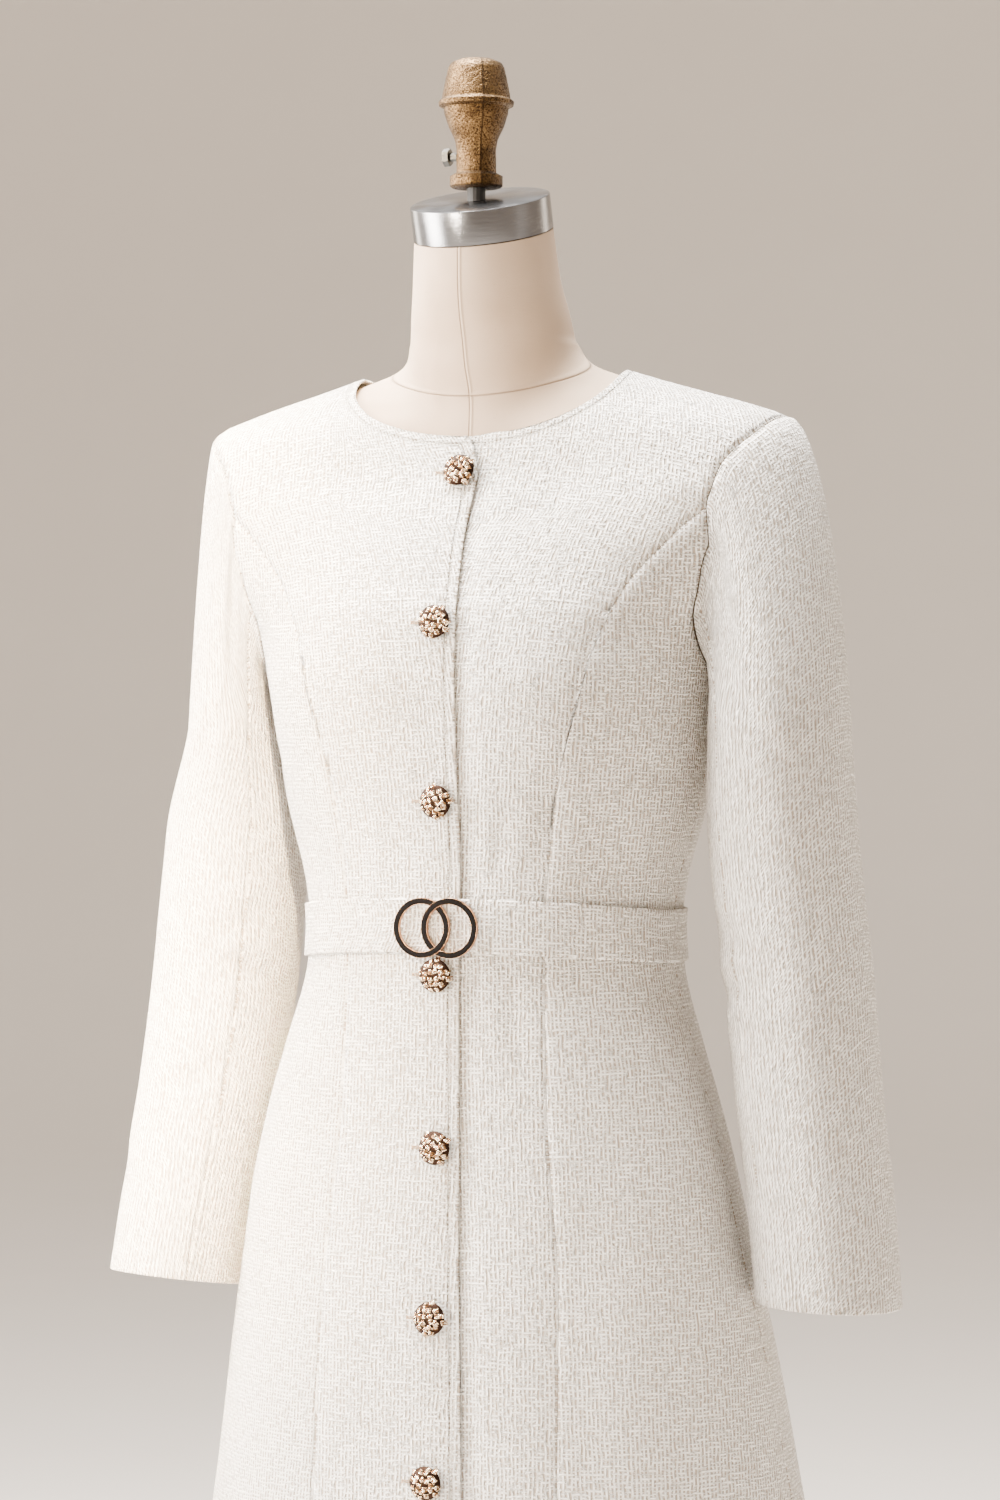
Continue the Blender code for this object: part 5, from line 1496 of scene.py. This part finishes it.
def stitch_tree(name, material, pitch, length, thickness, seed):
    """A tree that lays stitches along the edges of a mesh: short fat grains of thread, end to end."""
    tree = Tree(name, Pitch=pitch, Length=length, Thickness=thickness, Seed=seed)
    path = tree.node("GeometryNodeMeshToCurve", {0: tree.input("Geometry")})
    steps = {"Curve": path, "Length": tree.input("Pitch")}
    spaced = tree.node("GeometryNodeResampleCurve", steps, mode="LENGTH")
    along = tree.node("GeometryNodeInputTangent")
    turn = tree.node("FunctionNodeAlignRotationToVector", {"Vector": along}, axis="X")
    grain = tree.node("GeometryNodeMeshUVSphere", {"Segments": 6, "Rings": 4, "Radius": 0.5})
    size = tree.node("ShaderNodeCombineXYZ", {0: tree.input("Length"), 1: tree.input("Thickness"),
                                              2: tree.input("Thickness")})
    sized = tree.node("GeometryNodeTransform", {"Geometry": grain, "Scale": size})
    uneven = tree.node("FunctionNodeRandomValue", {"Min": (0.8, 0.85, 0.85), "Max": (1.08, 1.1, 1.1),
                                                   "Seed": tree.input("Seed")}, data_type="FLOAT_VECTOR")
    rows = tree.node("GeometryNodeInstanceOnPoints", {"Points": spaced, "Instance": sized, "Rotation": turn,
                                                      "Scale": uneven})
    tree.finish(rows, material)
    return tree


def path_object(name, lines):
    """A mesh of edges along some lines of points."""
    vertices, edges = [], []
    for line in lines:
        first = len(vertices)
        vertices += list(line)
        edges += [(first + i, first + i + 1) for i in range(len(line) - 1)]
    return new_object(name, vertices, edges=edges)


def stitched(name, lines, pitch=0.0030, length=0.0023, thickness=0.00055, material=thread, seed=3):
    """A row of stitches along some lines, riding on the dress."""
    tree = stitch_tree(name, material, pitch, length, thickness, seed)
    piece = tree.made_on(path_object(name + "_path", lines), name)
    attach(piece, "root")
    print(name, "triangles", triangles(piece))


# %% [markdown]
# ## Edge stitches and buttonholes
# A row of stitches runs beside the neckline all the way round, and another beside the upper front's
# edge.  Each lies in the small groove that the cloth's material already has there.  A buttonhole's end
# peeps out at the wearer's right of each button, worked over with close bars of thread.

# %% Stitch the edges and work the buttonholes
STITCH_LIFT = 0.0001               # how far a stitch's middle lies above the cloth
BUTTON_HEIGHTS = (0.193, 0.087, -0.035, -0.1545, -0.273, -0.389, -0.500, -0.619)
BUTTONHOLE = {"first": -0.0185, "last": 0.004, "gap": 0.0012}


def laid_on(points, lift):
    """Points of the figure moved to the creased cloth's face and a little above it."""
    points = on_figure(points)
    return points + figure_normal(points) * (lift - crease_depth(points))[..., None]


def neck_row(first, last, count):
    """A row of points beside the neckline, between two of its angles."""
    edge = on_figure([neckline(angle) for angle in np.linspace(first, last, count)])
    along = np.gradient(edge, axis=0)
    inward = np.cross(along, figure_normal(edge))
    inward *= -np.sign(inward[:, 2:]) / np.linalg.norm(inward, axis=1, keepdims=True)
    return edge + inward * EDGE_STITCH


corner_turn = math.asin(OVERLAP[-1][1] / NECK_WIDTH)
inset = EDGE_STITCH / NECK_WIDTH
edge_row = FRONT_EDGE[:-2] - np.array([EDGE_STITCH, 0, 0])
edge_row = edge_row[edge_row[:, 2] < FRONT_EDGE[-1, 2] - EDGE_STITCH]
stitched("neckline_stitches", [
    laid_on(neck_row(-math.pi, corner_turn - inset, 160), STITCH_LIFT),
    laid_on(neck_row(corner_turn + inset / 2, math.pi, 150), STITCH_LIFT),
])
stitched("front_edge_stitches", [laid_on(edge_row, STITCH_LIFT)], seed=5)


def buttonhole_bars(height):
    """The two worked lips of a buttonhole and the bar across its end, as rows for close stitches."""
    lips = []
    for side in (-1, 1):
        places = np.linspace(BUTTONHOLE["first"], BUTTONHOLE["last"], 24)
        level = height + side * BUTTONHOLE["gap"] / 2
        lips.append([middle_point(level, x, True) for x in places])
    rows = np.linspace(height - BUTTONHOLE["gap"], height + BUTTONHOLE["gap"], 8)
    lips.append([middle_point(row, BUTTONHOLE["first"] - 0.0004, True) for row in rows])
    return [laid_on(np.array(lip), STITCH_LIFT + 0.0001) for lip in lips]


warm_thread = twisted_thread("buttonhole_thread", (0.36, 0.24, 0.14))
bars = [bar for height in BUTTON_HEIGHTS for bar in buttonhole_bars(height)]
stitched("buttonhole_threads", bars, pitch=0.00055, length=0.0007, thickness=0.0010,
         material=warm_thread, seed=7)

# %% [markdown]
# ## The woven-knot buttons
# Each button is a dome of rose-gold metal cast like a basket knot: short strands in bunches of three,
# laid one bunch across the next, with painted shade in the hollows between.  One bunch is an arched,
# tapering strand repeated three times.  Geometry Nodes stand a bunch on every point of a small grid,
# turn every other one by a quarter, and then bend the whole field over the dome.  Painted reflections
# mark the strands.

# %% Make one button and set eight of them
KNOT = {"cell": 0.0042, "count": 6, "edge": 0.95, "lean": math.radians(38), "yaw": 0.75, "bunch": 1.18,
        "strand": 0.00054, "apart": 0.29, "taper": 0.55, "arch": 0.00105, "fall": 2.1, "draw_in": 0.03}
# In metres, how far a bunch may lie off its place.
STRAY = ((-0.0009, -0.0009, -0.0002), (0.0009, 0.0009, 0.0003))
DOME = {"radius": 0.0120, "rise": 0.0062, "rim": 0.0016, "stand_off": 0.0028, "under": 0.0102,
        "shank": 0.0022, "sides": 32}


def knot_gold():
    """Rose gold: bright on the strands, with painted reflections, and almost black with painted shade in the
    hollows.
    """
    finish = Finish("knot_gold", (0.90, 0.60, 0.38), 0.2, 1.0)
    place = finish.place()
    patina = finish.grain(place, 700.0, 3.0)
    rise = finish.measure("rise")
    # Painted reflections: a sharp noise turns patches of the strands dark brown, as if dark surroundings were
    # mirrored there.
    painted_reflection = finish.grain(finish.stretched(place, (520, 520, 760)), 1.0, 1.0).ramp(0.47, 0.55)
    # Painted shade: low on a strand, under it and in the hollows, the colour goes almost black.
    out_of_shade = (rise + (patina - 0.5) * 0.3).ramp(0.34, 0.72)
    lit = finish.blend(painted_reflection, (0.20, 0.10, 0.04), (1.0, 0.80, 0.56))
    finish.put("Base Color", finish.blend(out_of_shade, (0.016, 0.008, 0.005), lit))
    finish.put("Roughness", 0.5 - out_of_shade * 0.32)
    finish.bump(patina, 0.00004)
    return finish.material


def strand_bunch(steps=8, sides=7):
    """Vertices and faces of three arched strands side by side, with how high each point rises."""
    length = KNOT["cell"] * KNOT["bunch"]
    vertices, faces, rise = [], [], []
    for strand in (-1, 0, 1):
        faces += turned_over(tube_faces(steps + 1, sides, len(vertices)))
        for step in range(steps + 1):
            part = step / steps * 2 - 1
            girth = KNOT["strand"] * (1 - KNOT["taper"] * part**4)
            height = KNOT["arch"] * (1 - KNOT["fall"] * part**2)
            for side in range(sides):
                turn = 2 * math.pi * side / sides
                y = strand * KNOT["cell"] * KNOT["apart"] + girth * math.cos(turn)
                vertices.append((part * length / 2, y, height + girth * math.sin(turn)))
                rise.append(max(0.0, 0.5 + 0.5 * math.sin(turn) - 0.35 * part**2))
    return vertices, faces, rise


def dome_height(distance):
    """The dome's height above its rim at a distance from its middle."""
    return DOME["rise"] * math.sqrt(max(0.0, 1 - (distance / DOME["radius"]) ** 2))


gold = knot_gold()
vertices, faces, rise = strand_bunch()
bunch = new_object("strand_bunch", vertices, faces)
keep_measure(bunch, "rise", rise)

knot = Tree("woven_knot", Cell=KNOT["cell"], Count=KNOT["count"], Radius=DOME["radius"], Rise=DOME["rise"],
            Lean=KNOT["lean"], Seed=11)
cell, count, reach, seed = (knot.input(label) for label in ("Cell", "Count", "Radius", "Seed"))
width = cell * (count - 1.0)
points = knot.node("GeometryNodeMeshGrid",
                   {"Size X": width, "Size Y": width, "Vertices X": count, "Vertices Y": count})
place = knot.node("GeometryNodeInputPosition")
outside = knot.node("FunctionNodeCompare", {0: knot.length(place), 1: reach * KNOT["edge"]},
                    data_type="FLOAT", operation="GREATER_THAN")
points = knot.node("GeometryNodeDeleteGeometry", {"Geometry": points, "Selection": outside}, domain="POINT")
strewn = knot.node("FunctionNodeRandomValue", {"Min": STRAY[0], "Max": STRAY[1], "Seed": seed},
                   data_type="FLOAT_VECTOR")
points = knot.node("GeometryNodeSetPosition", {"Geometry": points, "Offset": strewn})
shaken = knot.node("FunctionNodeRandomValue", {2: -KNOT["yaw"], 3: KNOT["yaw"], "Seed": seed}, output=1,
                   data_type="FLOAT")
parity = round(knot.axis(place, "X") / cell + knot.axis(place, "Y") / cell) % 2.0
turn = knot.node("CombineXYZ", {2: parity * (math.pi / 2) + shaken})
source = knot.node("GeometryNodeObjectInfo", {"Object": bunch}, output="Geometry")
field = knot.node("GeometryNodeInstanceOnPoints", {"Points": points, "Instance": source, "Rotation": turn})
leaning = knot.node("CombineXYZ", {2: knot.input("Lean")})
field = knot.node("GeometryNodeTransform", {"Geometry": field, "Rotation": leaning})
field = knot.node("GeometryNodeRealizeInstances", {0: field})
share = knot.length(knot.node("VectorMath", {0: place, 1: (1, 1, 0)}, operation="MULTIPLY")) / reach
fall = (1.0 - (1.0 - share * share).most(0.02).root()) * knot.input("Rise")
drop = knot.node("CombineXYZ", {2: fall * -1.0})
pull = 1.0 - share * share * KNOT["draw_in"]
drawn = knot.node("CombineXYZ", {0: pull, 1: pull, 2: 1.0})
bent = knot.node("VectorMath", {0: place, 1: drawn}, operation="MULTIPLY")
bent = knot.node("VectorMath", {0: bent, 1: drop}, operation="ADD")
field = knot.node("GeometryNodeSetPosition", {"Geometry": field, "Position": bent})
knot.finish(field, gold)
strands = knot.made_on(path_object("knot_carrier", [[(0, 0, 0), (0, 0, 0.001)]]), "woven_strands")
bpy.data.objects.remove(bunch)
print("strands on one button", len(strands.data.polygons))

FOOT_GAP = 0.0006                  # under the shank, as in the solid model
BUTTON_TURNS = (10, 35, -20, 55, 5, -35, 25, -10)   # degrees: no two buttons are sewn on alike


def button_body():
    """Vertices and faces of the shank, the back and a dome below the strands, dark with painted shade."""
    base = DOME["stand_off"]
    profile = [(0.0001, FOOT_GAP), (DOME["shank"], FOOT_GAP), (DOME["shank"], base), (DOME["under"], base)]
    for part in np.linspace(0, 1, 9):
        radius = DOME["radius"] * 0.965 * math.cos(part * math.pi / 2 * 0.99)
        profile.append((radius, base + DOME["rim"] * 0.7 + dome_height(radius) * 0.9 - 0.0004))
    return turned(profile, DOME["sides"])


def set_button(number, height):
    """One button as a mesh of its body and strands, standing on the upper front."""
    seat = on_figure([middle_point(height, 0.0, True)])
    away = figure_normal(seat)[0]
    vertices, faces = button_body()
    body_count = len(vertices)
    lift = DOME["stand_off"] + DOME["rim"] + DOME["rise"] - KNOT["arch"] - KNOT["strand"] * 0.6
    spin = Matrix.Rotation(math.radians(BUTTON_TURNS[number - 1]), 4, "Z")
    strand_points = [tuple(spin @ Vector((v.co.x, v.co.y, v.co.z + lift))) for v in strands.data.vertices]
    faces = faces + [tuple(body_count + v for v in face.vertices) for face in strands.data.polygons]
    # The body gets no rise, so painted shade makes it almost black under the strands.
    rising = [0.0] * body_count + [value.value for value in strands.data.attributes["rise"].data]
    made = new_object(f"button_{number}_knot", vertices + strand_points, faces)
    keep_measure(made, "rise", rising)
    made.data.materials.append(gold)
    tip = math.atan2(-away[1], away[2])
    made.data.transform(Matrix.Translation(Vector(seat[0])) @ Matrix.Rotation(tip, 4, "X"))
    stand_in(made, f"button_{number}")
    return made


for number, height in enumerate(BUTTON_HEIGHTS, 1):
    made = set_button(number, height)
bpy.data.objects.remove(strands)
print("triangles a button", triangles(made))

# %% [markdown]
# ## The dress form
# The form is a padded body under a fine cream canvas, cut off at the arms, with a neck that leans
# forward.  Inside the dress it keeps a few millimetres off the cloth.  Its surface is where one smooth
# value changes sign: the figure drawn in, cut by two plates, joined softly to the neck.  Halving a step
# along rays from the middle finds it.  Two seams show: down the centre, and round the foot of the neck.

# %% Cover the form
FORM = {"sides": 128, "rows": 96, "crowding": 1.6, "halvings": 24, "bottom": -0.370, "neck_from": 0.285,
        "neck_rows": 20, "reach": 0.4, "inner": 0.002}
CANVAS_PITCH = 0.0007
# Columns: height, ease inside the dress's wall.
EASE = (
    (-0.400, 0.020),
    (-0.250, 0.010),
    (-0.125, 0.006),
    (0.000, 0.0042),
    (0.180, 0.0040),
    (0.235, 0.0042),
    (0.290, 0.0042),
)
# Columns: height, middle Y, half width, half depth.
NECK = (
    (0.200, 0.010, 0.050, 0.046),
    (0.247, 0.006, 0.058, 0.052),
    (0.270, 0.001, 0.0605, 0.057),
    (0.300, -0.006, 0.0570, 0.0575),
    (0.330, -0.0155, 0.0520, 0.0535),
    (0.3632, -0.0210, 0.0492, 0.0500),
)
LAP_EASE = {"depth": 0.0035, "reach": 0.050}
ARM_PLATE = (0.158, 0.134)
ARM_BLEND, NECK_BLEND = 0.012, 0.022
NECK_TILT = math.radians(17.0)
NECK_SEAM = {"front": 0.246, "y": -0.050, "slope": 0.50}
ease_at, neck_at = smooth_table(EASE), smooth_table(NECK)


def smooth_least(first, second, width):
    """The lesser of two values, rounded over a width where they meet."""
    share = np.clip(0.5 + 0.5 * (second - first) / width, 0, 1)
    return second * (1 - share) + first * share - width * share * (1 - share)


def form_value(points):
    """About the distance outside the form's surface: the body, cut at the arms, with its neck."""
    height = points[..., 2] - EYE
    slope = np.linalg.norm(figure_slope(points), axis=-1)
    body = figure_value(points) / slope + FORM["inner"] + ease_at(height)[..., 0]
    lapped = np.exp(-(points[..., 0] / LAP_EASE["reach"]) ** 4) * (points[..., 1] < 0)
    body = body + LAP_EASE["depth"] * lapped
    plate = ARM_PLATE[0] + ARM_PLATE[1] * (height - ARMHOLE["low"])
    arm = (np.abs(points[..., 0]) - plate) / math.hypot(1, ARM_PLATE[1])
    body = -smooth_least(-body, -arm, ARM_BLEND)
    middle, half, depth = np.moveaxis(neck_at(height), -1, 0)
    ring = np.hypot(points[..., 0] / half, (points[..., 1] - middle) / depth)
    return smooth_least(body, (ring - 1) * (half + depth) / 2, NECK_BLEND)


turns = np.linspace(0, 2 * math.pi, FORM["sides"], endpoint=False)
ways = np.stack([np.sin(turns), -np.cos(turns), np.zeros_like(turns)], axis=1)
climb = 1 - (1 - np.linspace(0, 1, FORM["rows"])) ** FORM["crowding"]
heights = FORM["bottom"] + (FORM["neck_from"] - FORM["bottom"]) * climb
middles = np.stack([0 * heights, section_at(heights)[:, 3], EYE + heights], axis=1)[:, None]
near, far = np.zeros((len(heights), FORM["sides"])), np.full((len(heights), FORM["sides"]), FORM["reach"])
for _ in range(FORM["halvings"]):
    half = (near + far) / 2
    inside = form_value(middles + ways * half[..., None]) < 0
    near, far = np.where(inside, half, near), np.where(inside, far, half)
body_rings = middles + ways * near[..., None]

neck_rings = []
for share in np.linspace(0, 1, FORM["neck_rows"] + 1)[1:]:
    height = FORM["neck_from"] + (NECK[-1][0] - FORM["neck_from"]) * share
    middle, half_width, half_depth = neck_at(height)
    reach = -half_depth * np.cos(turns)
    neck_rings.append(np.stack([half_width * np.sin(turns), middle + reach * math.cos(NECK_TILT * share),
                                EYE + height + reach * math.sin(NECK_TILT * share)], axis=1))
grid = np.concatenate([body_rings, np.array(neck_rings)])
points = grid.reshape(-1, 3)
form = new_object("form_canvas", points, tube_faces(len(grid), FORM["sides"]))
form.data.set_sharp_from_angle(angle=math.radians(50))
seam_height = NECK_SEAM["front"] + NECK_SEAM["slope"] * (points[:, 1] - NECK_SEAM["y"])
keep_measure(form, "middle_seam", points[:, 0])
keep_measure(form, "neck_seam", points[:, 2] - EYE - seam_height)


def form_canvas():
    """Fine cream canvas with specks and a smudge of soil, darker in the grooves of its raised seams."""
    finish = Finish("form_canvas", (0.31, 0.23, 0.16), 0.8, Sheen_Weight=0.05, Specular_IOR_Level=0.2)
    place = finish.place()
    x, z = finish.axis(place, "X"), finish.axis(place, "Z")
    weave = x.sine(CANVAS_PITCH) * z.sine(CANVAS_PITCH)
    slub = finish.grain(finish.stretched(place, (90, 90, 900)), 1.0, 2.0)
    specks = finish.grain(place, 800.0, 1.0).ramp(0.72, 0.80)
    clouds = finish.grain(place, 14.0, 3.0)
    middle, neck = finish.measure("middle_seam"), finish.measure("neck_seam")
    ridge = (middle - 0.0012).bell(0.0012).most((neck - 0.0014).bell(0.0014))
    groove = middle.bell(0.00045).most(neck.bell(0.0005))
    finish.bump(weave * 0.05 + slub * 0.10 + ridge * 0.8 - groove * 1.1, 0.0007)
    ground = finish.blend(clouds.ramp(0.35, 0.7), (0.34, 0.25, 0.175), (0.29, 0.21, 0.142))
    smudge = middle.bell(0.006) * neck.bell(0.007) * clouds.ramp(0.3, 0.6)
    # Darker in the seams' grooves, with specks, a smudge where the seams cross, and darker slubs.
    soil_and_groove_dark = groove * (clouds * 0.8 + 0.45) + specks * 0.4 + smudge * 0.35 + slub.ramp(0.62, 0.8) * 0.08
    finish.put("Base Color", finish.blend(soil_and_groove_dark.least(1.0), ground, (0.17, 0.115, 0.07)))
    return finish.material


form.data.materials.append(form_canvas())
stand_in(form, "form_body")
print("form triangles", triangles(form))

# %% [markdown]
# ## The finial
# The finial is a rough casting in antique gold.  A casting shows the sand it was poured in, as a pitted
# skin, and the line where the two halves of the mould met.  The profile of the solid is kept, each point
# is pushed by a fixed noise, and the line is a low ridge on two opposite sides, with a painted shadow
# beside it.

# %% Cast the finial
# Columns: height, radius.
FINIAL = (
    (0.0000, 0.0170),
    (0.0012, 0.0185),
    (0.0080, 0.0185),
    (0.0090, 0.0165),
    (0.0105, 0.0140),
    (0.0270, 0.0138),
    (0.0340, 0.0152),
    (0.0430, 0.0195),
    (0.0520, 0.0224),
    (0.0560, 0.0228),
    (0.0575, 0.0262),
    (0.0605, 0.0265),
    (0.0625, 0.0240),
    (0.0660, 0.0236),
    (0.0760, 0.0216),
    (0.0840, 0.0198),
    (0.0875, 0.0178),
    (0.0900, 0.0120),
    (0.0908, 0.0050),
)
CASTING = {"sides": 120, "step": 0.0009, "rough": 0.00035, "ridge": 0.0005, "ridge_width": 0.0006,
           "ridge_turn": math.radians(-58), "shade_off": 0.0009, "core": 0.004, "lift": 0.4, "level": 0.003}
PITS = ((420, 0.6), (1100, 0.4))   # the noise's scales and shares


def fine_profile():
    """The finial's profile as (radius, height) points, close enough for the skin's pits."""
    points = []
    for (low, first), (high, last) in zip(FINIAL, FINIAL[1:]):
        steps = max(1, round(math.hypot(high - low, last - first) / CASTING["step"]))
        points += [(first + (last - first) * s / steps, low + (high - low) * s / steps) for s in range(steps)]
    return [*points, FINIAL[-1][::-1]]


vertices, faces = turned(fine_profile(), CASTING["sides"])
low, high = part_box("finial")[:2]
centre = Vector(((low[0] + high[0]) / 2, (low[1] + high[1]) / 2, low[2]))
cast, from_shadow_line = [], []
for x, y, z in vertices:
    turn, radius = math.atan2(y, x), math.hypot(x, y)
    pits = sum(noise.noise(Vector((x, y, z)) * scale) * share for scale, share in PITS)
    aside = math.sin(turn - CASTING["ridge_turn"]) * radius
    # Distance from a line just beside the mould line's ridge, where its painted shadow lies.
    from_shadow_line.append(aside - CASTING["shade_off"])
    line = math.exp(-((aside / CASTING["ridge_width"]) ** 2))
    out = 1 + (pits * CASTING["rough"] + line * CASTING["ridge"]) / max(radius, CASTING["core"])
    up = pits * CASTING["rough"] * CASTING["lift"] * (z > CASTING["level"])
    cast.append((centre.x + x * out, centre.y + y * out, centre.z + z + up))
finial = new_object("cast_finial", cast, faces)
finial.data.set_sharp_from_angle(angle=math.radians(48))
keep_measure(finial, "mould_line_shadow", from_shadow_line)


def antique_gold():
    """Rough cast metal, gold where it is rubbed and brown in its pits, with a painted shadow beside the mould
    line.
    """
    finish = Finish("antique_gold", (0.12, 0.062, 0.022), 0.42, 1.0)
    place = finish.place()
    sand = finish.grain(place, 800.0, 3.0, 0.6)
    pits = finish.grain(place, 1300.0, 2.0)
    rubbed = finish.grain(place, 70.0, 3.0).ramp(0.3, 0.7)
    low = 1.0 - (sand * 0.6 + pits * 0.4).ramp(0.40, 0.56)
    # Painted shadow: a dark band beside the mould line's ridge.
    line = finish.measure("mould_line_shadow").bell(0.0007)
    bright = finish.blend(rubbed, (0.060, 0.034, 0.013), (0.135, 0.080, 0.033))
    finish.put("Base Color", finish.blend((low * 0.9).most(line * 0.8), bright, (0.012, 0.006, 0.003)))
    finish.put("Roughness", 0.36 + low * 0.4)
    finish.bump(sand * 0.7 + pits * 0.3, 0.0009)
    return finish.material


finial.data.materials.append(antique_gold())
stand_in(finial, "finial")
print("finial triangles", triangles(finial))

# %% [markdown]
# ## The neck cap
# Brushed steel shows every flat of a coarse cylinder, so a cap of the same size with many more sides
# takes the solid's place.  It leans forward with the neck.

# %% Turn the cap
CAP = {"radius": 0.0495, "height": 0.0245, "bevel": 0.0012, "sides": 192, "gap": 0.0003, "middle": 0.0001}
radius, high, bevel = CAP["radius"], CAP["height"], CAP["bevel"]
profile = [(CAP["middle"], 0), (radius - bevel / 2, 0), (radius, bevel / 2), (radius, high - bevel),
           (radius - bevel * 0.3, high - bevel * 0.3), (radius - bevel, high), (CAP["middle"], high)]
cap = new_object("steel_cap", *turned(profile, CAP["sides"]))
cap.data.set_sharp_from_angle(angle=math.radians(30))
lean = Matrix.Rotation(NECK_TILT, 4, "X")
seat = Vector((0, NECK[-1][1], EYE + NECK[-1][0])) + lean @ Vector((0, 0, CAP["gap"]))
cap.data.transform(Matrix.Translation(seat) @ lean)
stand_in(cap, "neck_cap")
print("cap triangles", triangles(cap))

# %% [markdown]
# ## Metal that the solid model already shapes
# The post, set screw, under plate, pole and foot have the right shapes, so they keep their own
# meshes and only get better materials.  Brushed steel is fine scratches all one way: a noise that is
# stretched round the cap changes both the roughness and the height.

# %% Finish the cap, the post, the screw and the stand
def brushed(name, colour, tilt, roughness, grains):
    """Brushed metal, its scratches level in a frame tilted about X."""
    finish = Finish(name, colour, roughness, 1.0)
    turned_place = finish.node("Mapping", {"Vector": finish.place(), "Rotation": (tilt, 0, 0)})
    scratches = finish.grain(finish.stretched(turned_place, grains), 1.0, 3.0, 0.6)
    smears = finish.grain(turned_place, 26.0, 3.0)
    finish.put("Roughness", scratches * 0.22 + smears * 0.12 + (roughness - 0.17))
    dim, light = tuple(part * 0.80 for part in colour), tuple(min(1.0, part * 1.15) for part in colour)
    finish.put("Base Color", finish.blend(scratches, dim, light))
    finish.bump(scratches, 0.00006)
    return finish.material


def black_iron():
    """Blackened iron with a faint waxy bloom."""
    finish = Finish("black_iron", (0.010, 0.010, 0.010), 0.5, Specular_IOR_Level=0.15)
    bloom = finish.grain(finish.place(), 320.0, 3.0)
    finish.put("Base Color", finish.blend(bloom, (0.006, 0.006, 0.006), (0.022, 0.021, 0.020)))
    finish.put("Roughness", bloom * 0.3 + 0.3)
    finish.bump(bloom, 0.00012)
    return finish.material


iron = black_iron()
cap.data.materials.append(brushed("brushed_steel", (0.17, 0.17, 0.175), -NECK_TILT, 0.22, (60, 60, 2600)))
paint("set_screw", brushed("zinc_plate", (0.075, 0.070, 0.060), 0.0, 0.42, (1800, 500, 500)))
for node in ("neck_post", "under_plate"):
    paint(node, iron)
paint("pole", brushed("pole_steel", (0.22, 0.22, 0.225), 0.0, 0.30, (70, 70, 1500)))
paint("foot", brushed("foot_steel", (0.24, 0.24, 0.245), 0.0, 0.38, (300, 300, 900)))
print("metal finished")

# %% Show the sizes
shown_box = [list(corner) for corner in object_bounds()]
{"solid": solid_box, "shown": shown_box}
print("shown box", shown_box)
